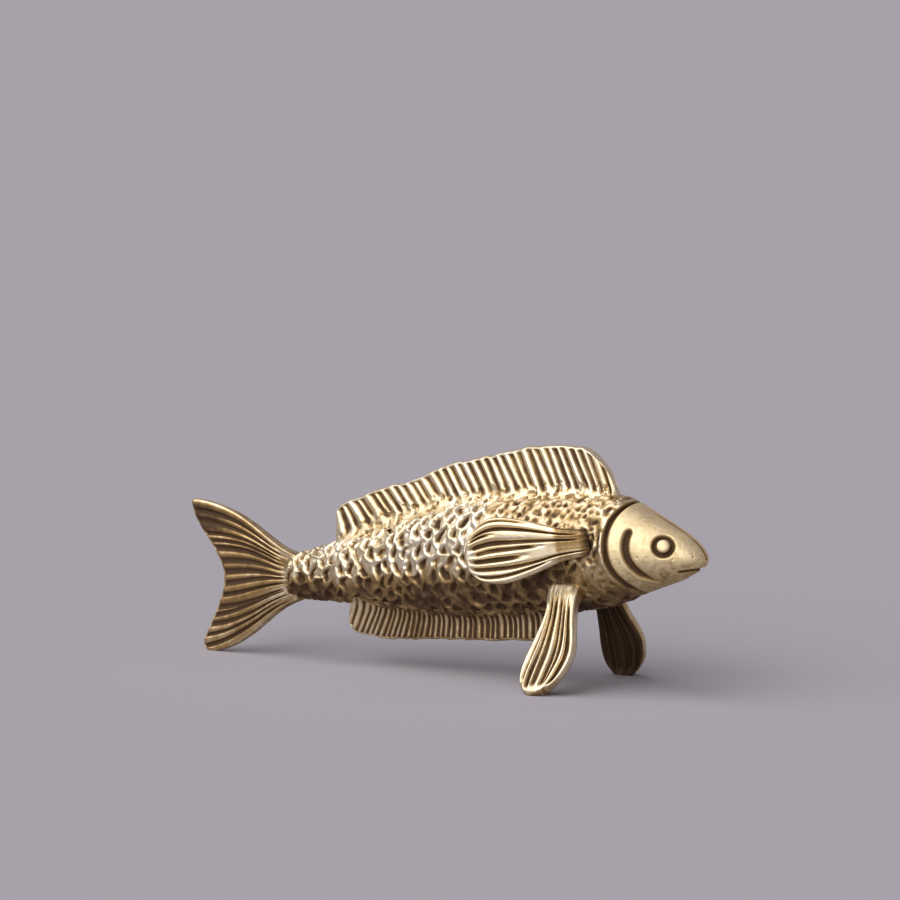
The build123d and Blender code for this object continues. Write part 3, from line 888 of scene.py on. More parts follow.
@dataclass
class Trunk(Casting):
    """Scaled body casting.

    Attributes:
        shoulder: Places along X between which pits take the place of the scales on the back.
        throat: Places along X between which the scales get shallower under the head.
        chin: Places along X between which that patch's downward faces get their own darkening, partly patina
            and partly painted shade.
        fin_start: Places along X between which the foot of the back fin begins.
        dulled: Places along X between which the flank's upper half gets duller.
        tail_lap: How far it runs on into the tail.
        gill_lap: How far it runs on under the gill covers.
        blur: How often depths are averaged to tell hollows from what lies round them.
    """

    rings: int = 41
    depth: float = 0.62
    scales: ToolMarks = ToolMarks(-14.8, 1.4, 1.2, range(-6, 7), 26, (0.13, 0.11), (1.5, 1.6))
    pits: ToolMarks = ToolMarks(-14.0, 0.78, 0.62, range(-7, 13), 46, (0.17, 0.14), (0.9, 0.9))
    shoulder: Pair = (5.0, 8.5)
    throat: Pair = (13.2, 15.8)
    chin: Pair = (13.8, 16.4)
    fin_start: Pair = (-11.5, -9.5)
    dulled: Pair = (4.0, 9.0)
    blur: int = 30
    tail_lap: float = 0.6
    gill_lap: float = 0.06

    def build(self) -> Piece:
        """Lofts the trunk along its sections, then gouges the scales into it.

        Returns:
            The trunk, in millimetres.
        """
        obj, angle, ring = tube("trunk_cast", self.sides, self.rings)
        stations = np.concatenate([np.linspace(0, 0.978, self.rings - 5), [0.992, 0.9985, 1, 1, 1]])
        share = stations[ring]
        start = self.form.tail_root_x - self.tail_lap
        x = start + (self.form.gill_x - start) * share
        x += (self.form.gill_edge(angle) - self.form.gill_x + self.gill_lap) * share**6
        return self.cast(obj, x, angle, self.rings - 1 - ring)

    def gouges(self, x: Array, s: Array, fine: Array, seed: int) -> tuple[Array, Array]:
        """Cupped scales and small pits of one side.

        Args:
            x: Places along the fish, in rising order.
            s: Distances over the skin from the middle of the flank.
            fine: Share of the small pits, against the scales, at each place.
            seed: Seed of the hand work's unevenness.

        Returns:
            Depth share of the gouges, and height share of the rims that they threw up.
        """
        rng = np.random.default_rng(seed)
        pit, rim = np.zeros(len(x)), np.zeros(len(x))
        for middle in self.scales.middles(rng):
            tall, size, deep = rng.uniform(0.34, 0.6), rng.uniform(0.7, 1.2), rng.uniform(0.4, 1.0)
            tilt = rng.normal(0, 0.25) - (0.25 if middle[1] < -1.5 else 0.0)
            near, u, v = self.scales.around(x, s, middle, tilt)
            v /= tall
            bowed = (u + 0.12 * v**2) / size
            wide = np.where(bowed > 0, 0.15, 0.24 if middle[1] > 0.4 else 0.30)
            hole = deep * np.exp(-0.7 * np.hypot(bowed / wide, v) ** 2.4)
            pit[near] = np.maximum(pit[near], hole * (1 - fine[near]))
            lip = hump(np.hypot(bowed / 0.36, v / 1.5) - 1.15, 0.42) * smooth_step(-0.12, 0.2, bowed)
            rim[near] = np.maximum(rim[near], lip * (1 - fine[near]))
        for middle in self.pits.middles(rng):
            tall, wide, deep = rng.uniform(0.17, 0.36), rng.uniform(0.12, 0.24), rng.uniform(0.1, 0.7)
            near, u, v = self.pits.around(x, s, middle, rng.normal(0, 0.6))
            v /= tall
            apart = np.hypot(u / wide + 0.3 * v**2, v)
            pit[near] = np.maximum(pit[near], deep * hump(apart, 1.0, 2.4) * fine[near])
            rim[near] = np.maximum(rim[near], 0.3 * hump(apart - 1.75, 0.4) * fine[near])
        return pit, rim

    def relief(self, points: Array) -> tuple[Array, Array]:
        """Gouged skin, with the grooves at the gill seam and under the back fin.

        Args:
            points: Points of the smooth trunk.

        Returns:
            Shares of the depth that the points are sunk by, and the least patina that they get.
        """
        x, y, z = points.T
        s = self.form.girth(x, self.form.angles(points))
        seam = self.form.gill_distance(points)
        drift = 0.9 * lumps(points, 2.4, 2)
        fine = smooth_step(*self.shoulder, x + drift) * smooth_step(0.9, 2.0, s + drift)
        fine = np.maximum(fine, smooth_step(2.9, 1.9, seam + 0.5 * drift) * smooth_step(-3.4, -2.2, s))
        calm = 1 - 0.65 * fine
        bent_x = x + calm * (0.34 * lumps(points, 0.9, 5) + 0.1 * lumps(points, 0.35, 10))
        bent_s = s + calm * (0.34 * lumps(points, 0.9, 6) + 0.1 * lumps(points, 0.35, 11))
        pit, rim = np.zeros(len(points)), np.zeros(len(points))
        for side in Side:
            own = np.where((y > 0) == (side is Side.LEFT))[0]
            own = own[np.argsort(bent_x[own])]
            pit[own], rim[own] = self.gouges(bent_x[own], bent_s[own], fine[own], 12 + side.value)
        axis, _, _ = self.form.section(x)
        band = smooth_step(0.5, 0.95, seam)
        back = (1 - smooth_step(1.0, 1.9, np.abs(y))) * (z > axis) * smooth_step(*self.fin_start, x)
        root = self.form.tail_root_x
        keep = band * (1 - 0.2 * back) * smooth_step(root - self.tail_lap, root + 0.1, x)
        keep *= 1 - 0.45 * smooth_step(*self.throat, x) * smooth_step(-0.6, -1.8, s)
        carve = 0.24 + 0.08 * waves(points, 1.3, 3) + 0.05 * lumps(points, 0.32, 4)
        carve += keep * (0.68 * pit - 0.26 * rim) + 0.3 * self.drips(points) * (z > axis)
        carve += 0.07 * lumps(points, 0.62, 14) * band
        carve -= 0.12 * hump(seam - 0.42, 0.22) * smooth_step(-95, -60, self.form.gill_turn(points))
        flush = smooth_step(0.08, 0.4, seam)
        groove = self.form.gill_groove(points)
        carve = np.maximum(np.clip(carve * flush + 0.055 * (1 - flush), 0, 1), 0.77 * groove)
        return carve, 1.15 * groove

    @staticmethod
    def drips(points: Array) -> Array:
        """Grooves that run from the back fin's rays on to the body.

        Args:
            points: Points of the skin.

        Returns:
            Depth share of the grooves at each point.
        """
        foot = np.interp(DORSAL_RAYS, DORSAL_EDGE, DORSAL_FOOT)
        count = np.interp(points[:, 0], foot, np.arange(len(foot)), left=-0.5, right=len(foot) - 0.5)
        return hump(count - np.rint(count), 0.26) * smooth_step(1.9, 0.9, np.abs(points[:, 1]))

    def hollows(self, obj: Piece, carve: Array, normals: Array) -> Array:
        """Patina in the trunk's hollows, and darkening where its skin faces down: partly patina, partly
        painted shade.

        Args:
            obj: The carved trunk.
            carve: Shares of the depth that its points were sunk by.
            normals: Its normals before that.

        Returns:
            Patina and painted shade at each point.
        """
        points, facing = read_points(obj), normals[:, 2]
        throat = smooth_step(*self.chin, points[:, 0])
        # Darker where the skin faces down, on the lower flanks and belly: partly patina, partly painted
        # shade; weaker under the throat.
        low = smooth_step(0.34, -0.42, facing + 0.14 * lumps(points, 1.8, 7))
        low *= 1 - 0.5 * throat * smooth_step(-0.85, -0.5, facing)
        front = smooth_step(*self.dulled, points[:, 0]) * smooth_step(-0.3, 0.3, facing)
        cavity = np.clip(carve - spread(obj, carve, self.blur), -0.22, 1)
        # Rims lighten the downward faces less, which keeps that painted shade dark.
        cavity = np.where(cavity < 0, cavity * (1 - 0.85 * low), cavity)
        # Patina in the hollows, plus 0.76 of the darkening on downward faces, partly painted shade.
        dark = (1.9 * cavity + 0.45 * smooth_step(0.42, 0.8, carve)) * (1 - 0.4 * front) + 0.76 * low
        # Random mottling, and patches in the downward darkening, which is partly painted shade.
        dark += mottle(points, 8, (0.12, 2.2), (0.1, 0.5)) + 0.26 * low * lumps(points, 1.1, 15)
        dark += (0.29 + 0.6 * np.maximum(lumps(points, 0.4, 13), 0)) * front
        # Under the throat, faces turned part way down get a further 0.12 of darkening, partly patina and
        # partly painted shade.
        return dark + 0.12 * throat * smooth_step(0.1, -0.3, facing) * smooth_step(-0.9, -0.6, facing)


@dataclass
class Head(Casting):
    """Smooth head casting with its gill covers, mouth and eye rings."""

    rings: int = 20
    gill_lap: float = 0.05
    snout_gap: float = 0.004
    eye_setback: float = 2.9
    eye_rise: float = 0.9
    eye_ring: float = 0.72
    cheek_centre: Pair = (23.3, 12.2)
    cheek_radius: float = 3.22
    mouth_start: Pair = (24.0, 9.92)
    mouth_slope: float = 0.16
    crease_start: Pair = (20.6, 22.4)
    pit_count: int = 170
    pit_radius: Pair = (0.04, 0.085)

    def eye(self, side: Side) -> tuple[Array, Array]:
        """Place of an eye.

        Args:
            side: Its side of the head.

        Returns:
            Its centre on the skin, and the direction that it faces.
        """
        x = np.array([self.form.snout_x - self.eye_setback])
        _, depth, _ = self.form.section(x)
        lift = np.arcsin(self.eye_rise / depth)
        turn = lift if side is Side.LEFT else math.pi - lift
        here = self.form.skin(x, turn)
        ahead = self.form.skin(x + SKIN_STEP, turn) - here
        above = self.form.skin(x, turn + SKIN_STEP / 2 * side.value) - here
        normal = unit(np.cross(ahead, above))[0]
        return here[0], normal * np.sign(normal[1]) * side.value

    def build(self) -> Piece:
        """Lofts the head from the gill seam to the snout, then carves its features.

        Returns:
            The head, in millimetres.
        """
        obj, angle, ring = tube("head_cast", self.sides, self.rings)
        ahead = 1 - (1 - np.linspace(0, 1, self.rings - 4)) ** 1.5
        share = np.concatenate([[0, 0, 0, 0.006, 0.03], ahead[1:]])[ring]
        edge = self.form.gill_edge(angle) - self.gill_lap
        x = edge + (self.form.snout_x - self.snout_gap - edge) * share
        return self.cast(obj, x, angle, ring)

    def relief(self, points: Array) -> tuple[Array, Array]:
        """Gill covers, eye rings, mouth, the brow's crease and casting pits.

        Args:
            points: Points of the smooth head.

        Returns:
            Shares of the depth that the points are sunk by, and the least patina that they get.
        """
        x, y, z = points.T
        gill = 0.95 * self.form.gill_groove(points)
        dx, dz = self.cheek_centre[0] - x, z - self.cheek_centre[1]
        turn = np.degrees(np.arctan2(dz, dx))
        taper = smooth_step(26, 16, turn) * smooth_step(-86, -45, turn)
        off = np.hypot(dx, dz) - self.cheek_radius
        cheek = taper * hump(off, 0.08 + 0.22 * taper, 2.2) * (np.abs(y) > 0.4)
        ring, socket, pits = np.zeros((3, len(points)))
        for side in Side:
            centre, normal = self.eye(side)
            away = points - centre
            flat = np.linalg.norm(away - (away @ normal)[:, None] * normal, axis=1)
            flat = np.where(np.sign(y) == side.value, flat, np.inf)
            ring = np.maximum(ring, hump(flat - self.eye_ring, 0.24, 2.6))
            socket = np.maximum(socket, smooth_step(self.eye_ring, self.eye_ring - 0.25, flat))
        line = self.mouth_start[1] + self.mouth_slope * (x - self.mouth_start[0])
        inside = smooth_step(self.mouth_start[0] - 0.15, self.mouth_start[0] + 0.35, x)
        mouth = inside * hump(z - line, 0.13)
        jaw = inside * smooth_step(0.02, -0.2, z - line)
        axis, _, _ = self.form.section(np.minimum(x, self.form.snout_x - 0.1))
        crease = hump(y, 0.12) * smooth_step(*self.crease_start, x) * (z > axis)
        rng = np.random.default_rng(21)
        for index in rng.integers(0, len(points), self.pit_count):
            radius = rng.uniform(*self.pit_radius)
            hole = hump(np.linalg.norm(points - points[index], axis=1), radius)
            pits = np.maximum(pits, rng.uniform(0.3, 1.0) * hole)
        carve = 0.04 + 0.06 * waves(points, 1.9, 17) + 0.12 * pits + 0.14 * jaw
        carve = np.maximum.reduce(
            [carve, gill, 0.8 * cheek, 0.72 * ring, 0.5 * socket, 0.6 * mouth, 0.3 * crease])
        stain = np.maximum.reduce(
            [1.2 * gill, 1.2 * cheek, 1.25 * ring, 1.2 * mouth, 1.1 * crease, 0.5 * pits])
        return np.clip(carve, 0, 1), stain

    def hollows(self, obj: Piece, *_: Array) -> Array:
        """Patina mark of the head: a thin even layer, darker low on the cheeks where its carved skin faces
        down, and mottled.
        """
        low = smooth_step(0.1, -0.8, read_normals(obj)[:, 2])
        return 0.03 + 0.24 * low + mottle(read_points(obj), 31, (0.05, 1.5), (0.05, 0.5), (0.16, 0.24))


@dataclass
class Eye:
    """Domed bead on a stem, in its ring on the head."""

    head: Head
    side: Side
    ring_heights: tuple[float, ...] = (-1.3, -0.42, -0.36, -0.30, -0.04, 0.06, 0.12, 0.13)
    ring_radii: tuple[float, ...] = (0.33, 0.33, 0.52, 0.57, 0.56, 0.49, 0.32, 0.10)
    sides: int = 16
    levels: int = 2

    def build(self) -> Piece:
        """Turns a bar into a dome on a stem and sets it on the head.

        Returns:
            The bead, in millimetres.
        """
        obj, angle, ring = tube(f"eye_bead_{self.side.name.lower()}", self.sides, len(self.ring_heights))
        centre, normal = self.head.eye(self.side)
        flat = unit(np.cross(normal, (0, 0, 1)))
        spokes = np.cos(angle)[:, None] * flat + np.sin(angle)[:, None] * np.cross(flat, normal)
        heights, radii = np.array(self.ring_heights)[ring, None], np.array(self.ring_radii)[ring, None]
        write_points(obj, centre + heights * normal + radii * spokes)
        with editing(obj):
            bpy.ops.mesh.normals_make_consistent(inside=False)
        round_off(obj, self.levels)
        points = read_points(obj)
        sunk = smooth_step(0.0, -0.3, (points - centre) @ normal)
        mark(obj, "patina", 1.2 * sunk + 0.1 * lumps(points, 0.4, 41))
        return obj


# Fins


@dataclass(kw_only=True)
class RayFin(ABC):
    """Cast fin with grooves between its rays.

    Attributes:
        name: Name of its object.
        thickness: Thickness of the blade.
        depth: Depth of the deepest groove.
        seed: Seed of the hand work's unevenness.
        stain: Patina left on its faces.
        columns: Divisions of the first mesh across the rays.
        rows: Divisions of the first mesh along the rays.
        levels: How often that mesh is divided.
        blur: How often depths are averaged to tell hollows from what lies round them.
    """

    name: str
    thickness: float
    depth: float
    seed: int
    stain: float = 0.0
    columns: int
    rows: int
    levels: int = 3
    blur: int = 14

    @abstractmethod
    def place(self, across: Array, along: Array) -> Array:
        """Middle surface of the fin, from the shares across and along the rays."""

    @abstractmethod
    def thick(self, across: Array, along: Array) -> Array:
        """Thickness of the fin, from the shares across and along the rays."""

    def blade(self) -> tuple[Piece, Array, Array]:
        """Smooth fin, with the shares across and along the rays at its points."""
        obj = plate(self.name, self.columns, self.rows, self.place, self.thick, self.levels)
        return obj, marked(obj, "across"), marked(obj, "along")

    @staticmethod
    def sway(rng: np.random.Generator, along: Array, reach: float, turns: float) -> Array:
        """Unsteady course of one groove, as its moves across the fin."""
        return reach * np.sin(rng.uniform(0, PHASES) + along * rng.uniform(2, turns))

    def sink(self, obj: Piece, carve: Array) -> Array:
        """Sinks the grooves.

        Args:
            obj: The smooth fin.
            carve: How deep each point goes, as a share of the depth.

        Returns:
            How hollow each point is against what lies round it.
        """
        carve = np.clip(carve, 0, 1)
        press(obj, "rays", -self.depth, carve)
        return np.clip(carve - spread(obj, carve, self.blur), -0.2, 1)


@dataclass(kw_only=True)
class StripFin(RayFin):
    """Long fin along the middle of the back or the belly.

    Attributes:
        form: Body that it stands on.
        edge: Points of its free edge (x, z), from the tail end to the head end.
        root: Sign of the side of the body: 1 on the back, -1 on the belly.
        lean: Slope of the rays (shift along X per height), as (share, slope) pairs.
        rays: Places along X of the grooves, at the free edge.
        flare: Height above the skin at which it begins to flare into the body.
        fade: Heights above the skin between which the grooves come up.
        rim: Distances from the free edge between which the grooves run out.
        sunk: Depth of its root under the skin.
        climb: Exponent that closes up the rows of the first mesh towards the root.
        rounds: Rounds in which the feet of the leaning rays are found.
    """

    form: BodyForm
    edge: list[Pair]
    root: int
    lean: list[Pair]
    rays: list[float]
    flare: float
    fade: Pair
    rim: Pair
    sunk: float = 1.0
    climb: float = 1.35
    rounds: int = 8
    columns: int = 40

    def ends(self, across: Array) -> tuple[Array, Array]:
        """Ends of the rays.

        Args:
            across: Shares across the rays.

        Returns:
            Their free ends and their roots, as points in the fish's middle plane.
        """
        tip = curve_through(self.edge)(across)
        lean = np.interp(across, *np.array(self.lean).T)
        x = tip[:, 0].copy()
        for _ in range(self.rounds):
            axis, depth, _ = self.form.section(x)
            skin = axis + self.root * depth
            x = tip[:, 0] + lean * (np.maximum(self.root * (tip[:, 1] - skin), 0) + self.sunk)
        return tip, np.stack([x, skin - self.root * self.sunk], axis=-1)

    def heights(self, across: Array, along: Array) -> tuple[Array, Array]:
        """Heights of places on the fin.

        Args:
            across: Shares across the rays.
            along: Shares along the rays.

        Returns:
            Heights above the skin, and distances from the free edge.
        """
        tip, root = self.ends(across)
        reach = np.abs(tip[:, 1] - root[:, 1])
        share = along**self.climb
        return reach * share - self.sunk, reach * (1 - share)

    def place(self, across: Array, along: Array) -> Array:
        """Middle surface of the fin: along the rays from their roots to the free edge.

        Args:
            across: Shares across the rays.
            along: Shares along the rays.

        Returns:
            Points in space.
        """
        tip, root = self.ends(across)
        flat = root + (tip - root) * (along**self.climb)[:, None]
        return np.stack([flat[:, 0], np.zeros(len(flat)), flat[:, 1]], axis=-1)

    def thick(self, across: Array, along: Array) -> Array:
        """Thickness of the fin, which flares into the body at its root.

        Args:
            across: Shares across the rays.
            along: Shares along the rays.

        Returns:
            Thickness at each place.
        """
        height, _ = self.heights(across, along)
        _, root = self.ends(across)
        _, depth, width = self.form.section(root[:, 0])
        front = smooth_step(0.84, 1.0, across)
        buried = 2 * (width * np.sqrt(1 - (1 - (self.sunk - 0.16) / depth) ** 2) - 0.1) * (1 - 0.6 * front)
        fall = np.clip((height + self.sunk) / (self.sunk + self.flare), 0, 1)
        blade = self.thickness * (1 - 0.64 * front)
        return blade + (buried - blade) * (1 - fall) ** 2.2

    def grooves(self, across: Array, along: Array, height: Array, gap: Array) -> Array:
        """Grooves between the rays.

        Args:
            across: Shares across the rays.
            along: Shares along the rays.
            height: Heights above the skin.
            gap: Distances from the free edge.

        Returns:
            Depth share of the grooves at each place.
        """
        rng = np.random.default_rng(self.seed)
        steps = np.linspace(0, 1, EDGE_STEPS)
        centres = np.interp(self.rays, curve_through(self.edge)(steps)[:, 0], steps)
        pitch = float(np.diff(centres).mean())
        cut = np.zeros(len(across))
        for centre in centres + rng.normal(0, 0.07 * pitch, len(centres)):
            width = pitch * rng.uniform(0.25, 0.34)
            wander = self.sway(rng, along, 0.25 * width, 6)
            foot, head = self.fade[0] + rng.uniform(-0.2, 0.35), self.rim[0] + rng.uniform(-0.08, 0.1)
            reach = smooth_step(foot, foot + self.fade[1] - self.fade[0], height)
            reach *= smooth_step(head, head + self.rim[1] - self.rim[0], gap) * rng.uniform(0.75, 1.0)
            cut = np.maximum(cut, reach * hump(across - centre - wander, width, 2.2))
        return cut

    def build(self) -> Piece:
        """Makes the blade and cuts the grooves between its rays.

        Returns:
            The fin, in millimetres.
        """
        obj, across, along = self.blade()
        height, gap = self.heights(across, along)
        cut = self.grooves(across, along, height, gap)
        cut *= smooth_step(0.4, 0.85, np.abs(read_normals(obj)[:, 1]))
        points = read_points(obj)
        notch = waves(across[:, None] * np.array([1.4 * len(self.rays), 0, 0]), 1.0, self.seed)
        points[:, 2] -= self.root * 0.13 * notch * smooth_step(0.5, 0.0, gap)
        write_points(obj, points)
        on_back = self.root > 0
        foot = smooth_step(0.9, 0.3, height) * smooth_step(0.05, 0.45, lumps(points, 0.42, self.seed + 6))
        foot *= smooth_step(0.96, 0.9, across) * on_back
        wave = waves(points, 0.9, self.seed + 3)
        cavity = self.sink(obj, 0.12 * wave + np.maximum(0.88 * cut, 0.7 * foot))
        stain = self.stain * (0.35 + 0.65 * smooth_step(0.0, 0.4, across))
        dark = 0.54 * smooth_step(0.25, 0.8, cut) + cavity + stain
        dark += mottle(points, self.seed + 4, (0.10, 1.7), (0.10, 0.5))
        rough = 0.08 + 0.6 * np.maximum(lumps(points, 0.34, self.seed + 7), 0)
        dark += rough * smooth_step(0.9, 0.2, height) * on_back
        mark(obj, "patina", np.clip(dark, *PATINA_AND_SHADE_RANGE))
        return obj


@dataclass(kw_only=True)
class FanFin(RayFin):
    """Fin whose rays spread from a short root.

    Attributes:
        upper: Points of its first edge, from the root to the tip.
        lower: Points of its second edge, from the root to the tip.
        tip: Points of its free end, from the first edge to the second.
        origin: Where the drawing's origin lies.
        along: Direction of the drawing's first axis.
        rise: Direction of the drawing's second axis.
        rays: Grooves: place across the fin, half width, and share of the length where each begins.
        flare: Thickness at the root.
        flare_end: Share of the length over which the root tapers.
        tuck: Move of the root's end into the body.
        tuck_end: Share of the length over which the root bends in.
        rim: Share of the length where the grooves end.
        rim_across: Bare share at each edge.
        inner_shade: Painted shade on the face turned to the body's middle.
        tip_thin: Thickness at the tip, against the blade's.
        side_thin: Thickness at the two edges, against the blade's.
        brown: Share of the length that a brown stain covers from the root.
        soft: Exponent of the grooves' profile.
        shade: Patina in the grooves.
    """

    upper: list[Pair]
    lower: list[Pair]
    tip: list[Pair]
    origin: Triple | Array = (0.0, 0.0, 0.0)
    along: Triple | Array = (1.0, 0.0, 0.0)
    rise: Triple | Array = (0.0, 0.0, 1.0)
    rays: list[Triple]
    flare: float
    flare_end: float = 0.25
    tuck: Triple | Array = (0.0, 0.0, 0.0)
    tuck_end: float = 0.2
    columns: int = 14
    rows: int = 14
    rim: float
    rim_across: float = 0.06
    inner_shade: float = 0.0
    tip_thin: float = 1.0
    side_thin: float = 0.6
    brown: float = 0.0
    soft: float = 2.2
    shade: float = 0.6

    def drawing(self, across: Array, along: Array) -> Array:
        """Drawing of the fin in its own plane.

        Args:
            across: Shares across the rays.
            along: Shares along the rays.

        Returns:
            Points on the drawing's two axes.
        """
        upper, lower, tip = (curve_through(points) for points in (self.upper, self.lower, self.tip))
        t, r = across[:, None], along[:, None]
        corners = (1 - t) * np.array(self.upper[-1]) + t * np.array(self.lower[-1])
        return (1 - t) * upper(along) + t * lower(along) + r * (tip(across) - corners)

    def place(self, across: Array, along: Array) -> Array:
        """Middle surface of the fin: its drawing laid into space, with the root bent into the body.

        Args:
            across: Shares across the rays.
            along: Shares along the rays.

        Returns:
            Points in space.
        """
        flat = self.drawing(across, along)
        bend = (1 - smooth_step(0.0, self.tuck_end, along))[:, None] * np.array(self.tuck)
        return flat[:, :1] * np.array(self.along) + flat[:, 1:] * np.array(self.rise) + self.origin + bend

    def thick(self, across: Array, along: Array) -> Array:
        """Thickness of the fin, which flares to its root.

        Args:
            across: Shares across the rays.
            along: Shares along the rays.

        Returns:
            Thickness at each place.
        """
        swell = (1 - smooth_step(0.0, self.flare_end, along)) ** 1.3
        thin = 1 - (1 - self.tip_thin) * smooth_step(0.3, 1.0, along)
        side = smooth_step(0.0, 0.22, np.minimum(across, 1 - across))
        thin *= 1 - (1 - self.side_thin) * (1 - side)
        return self.thickness * thin + (self.flare - self.thickness) * swell

    def grooves(self, across: Array, along: Array) -> Array:
        """Grooves between the rays.

        Args:
            across: Shares across the rays.
            along: Shares along the rays.

        Returns:
            Depth share of the grooves at each place.
        """
        rng = np.random.default_rng(self.seed)
        narrow = 0.6 + 0.4 * smooth_step(0.0, 0.8, along)
        cut = np.zeros(len(across))
        for centre, width, first in self.rays:
            begin, end = first + rng.uniform(0, 0.12), self.rim - rng.uniform(0, 0.06)
            wander = self.sway(rng, along, 0.4 * width, 5)
            reach = smooth_step(begin, begin + 0.18, along) * (1 - smooth_step(end - 0.06, end + 0.02, along))
            reach *= rng.uniform(0.75, 1.0)
            cut = np.maximum(cut, reach * hump(across - centre - wander, width * narrow, self.soft))
        return cut

    def build(self) -> Piece:
        """Makes the blade and cuts the grooves between its rays.

        Returns:
            The fin, in millimetres.
        """
        obj, across, along = self.blade()
        points, normals = read_points(obj), read_normals(obj)
        facing = np.abs(normals @ np.cross(self.along, self.rise))
        side = smooth_step(0.0, self.rim_across, np.minimum(across, 1 - across))
        cut = self.grooves(across, along) * smooth_step(0.4, 0.85, facing) * side
        cavity = self.sink(obj, 0.10 * waves(points, 0.9, self.seed + 3) + 0.90 * cut)
        grown = 0.3 + 0.7 * smooth_step(0.05, 0.5, along)
        stain = self.stain * (1.15 - 0.3 * across) * grown * smooth_step(0.6, 0.95, facing) * side
        dark = self.shade * smooth_step(0.25, 0.8, cut) + 1.1 * cavity + stain
        # Deeper gold on the edges, and darker where the fin faces down.
        dark += 0.17 * smooth_step(0.85, 0.4, facing) + 0.2 * smooth_step(0.1, -0.5, normals[:, 2])
        # Painted shade on the face turned to the body's middle, which lies in the body's shadow.
        dark += self.inner_shade * smooth_step(0.1, 0.6, normals[:, 1])
        if self.brown > 0:
            block = smooth_step(0.72, 0.6, across)
            dark += (0.16 + 0.4 * block) * smooth_step(self.brown + 0.03, self.brown - 0.03, along)
            dark += 0.22 * smooth_step(0.3 * self.brown, 0.1 * self.brown, along)
        dark += mottle(points, self.seed + 4, (0.10, 1.4), (0.10, 0.5))
        dark += 0.24 * lumps(np.stack([12 * across, 2.2 * along, 0 * along], axis=1), 1.0, self.seed + 6)
        mark(obj, "patina", np.clip(dark, *PATINA_AND_SHADE_RANGE))
        return obj


def ray_places(count: int, margin: float, fill: float, start: float, seed: int) -> list[Triple]:
    """Evenly spread grooves with a little unevenness.

    Args:
        count: Number of grooves.
        margin: Bare share at each edge of the fin.
        fill: Share of each ray's pitch that the groove takes.
        start: Share of the length where the grooves begin.
        seed: Seed of the unevenness.

    Returns:
        Place and half width of each groove, as shares across the fin, and where it begins.
    """
    rng = np.random.default_rng(seed)
    pitch = (1 - 2 * margin) / count
    centres = margin + pitch * (np.arange(count) + 0.5 + rng.normal(0, 0.09, count))
    widths = pitch * fill / 2 * rng.uniform(0.75, 1.25, count)
    return [(float(c), float(w), start + 0.035 * float(np.sin(31 * c))) for c, w in zip(centres, widths)]


def dorsal_fin(form: BodyForm) -> StripFin:
    """The fin on the back.

    Args:
        form: Body that it stands on.

    Returns:
        The fin, ready to build.
    """
    edge = [(-10.2, 12.75), (-10.05, 13.5), (-9.2, 13.95), (-8.0, 14.4), (-5.9, 15.2), (-3.9, 15.75),
            (-2.2, 16.2), (-1.1, 16.6), (0.0, 17.2), (1.2, 17.6), (2.2, 17.88), (6.2, 18.75), (9.1, 19.45),
            (12.0, 19.75), (14.0, 19.75), (15.2, 19.35), (16.25, 18.58), (17.0, 17.5), (17.55, 16.3)]
    lean = [(0.0, -0.1), (0.025, 0.4), (0.06, 0.95), (0.26, 0.78), (0.37, 0.68), (0.5, 0.54), (0.78, 0.47),
            (0.9, 0.42), (1.0, 0.34)]
    return StripFin(name="dorsal_cast", form=form, edge=edge, root=1, lean=lean, rays=DORSAL_RAYS,
                    thickness=1.3, flare=0.3, fade=(-0.35, 0.5), rim=(0.1, 0.3), rows=9, depth=0.34, seed=50)


def anal_fin(form: BodyForm) -> StripFin:
    """The fin under the belly.

    Args:
        form: Body that it stands on.

    Returns:
        The fin, ready to build.
    """
    edge = [(-8.85, 4.3), (-8.75, 3.1), (-8.1, 2.6), (-6.5, 2.35), (-4.9, 2.3), (-0.8, 2.55), (4.2, 2.85),
            (8.2, 3.1), (10.6, 3.4), (11.6, 3.9), (11.95, 4.7)]
    lean = [(0.0, 0.2), (0.1, 0.5), (0.35, 0.25), (0.6, 0.05), (1.0, 0.0)]
    return StripFin(name="anal_cast", form=form, edge=edge, root=-1, lean=lean, rays=ANAL_RAYS,
                    thickness=1.2, flare=0.4, fade=(-0.9, -0.3), rim=(0.04, 0.22), rows=7, depth=0.26,
                    seed=90, stain=0.46)


def tail_fin() -> FanFin:
    """The forked tail, drawn in the fish's middle plane.

    Returns:
        The fin, ready to build.
    """
    upper = [(-14.0, 8.95), (-15.6, 9.4), (-17.0, 10.12), (-19.0, 11.35), (-20.9, 12.3), (-22.9, 12.92),
             (-24.9, 13.25), (-26.05, 13.2)]
    lower = [(-14.0, 5.1), (-15.7, 4.35), (-17.1, 3.4), (-19.0, 1.9), (-21.0, 0.7), (-22.6, 0.1),
             (-23.7, -0.1)]
    tip = [(-26.05, 13.2), (-25.45, 11.55), (-24.2, 9.95), (-23.3, 8.8), (-22.55, 7.5), (-22.35, 6.4),
           (-22.55, 5.2), (-23.15, 3.8), (-24.05, 2.0), (-24.75, 0.7), (-24.4, 0.0), (-23.7, -0.1)]
    return FanFin(name="tail_cast", upper=upper, lower=lower, tip=tip,
                  rays=ray_places(count=14, margin=0.045, fill=0.6, start=0.02, seed=61), thickness=1.2,
                  flare=1.85, flare_end=0.2, columns=26, seed=100, rim=1.08, rim_across=0.055, depth=0.28,
                  stain=0.64, tip_thin=0.7, side_thin=0.85, soft=2.3)


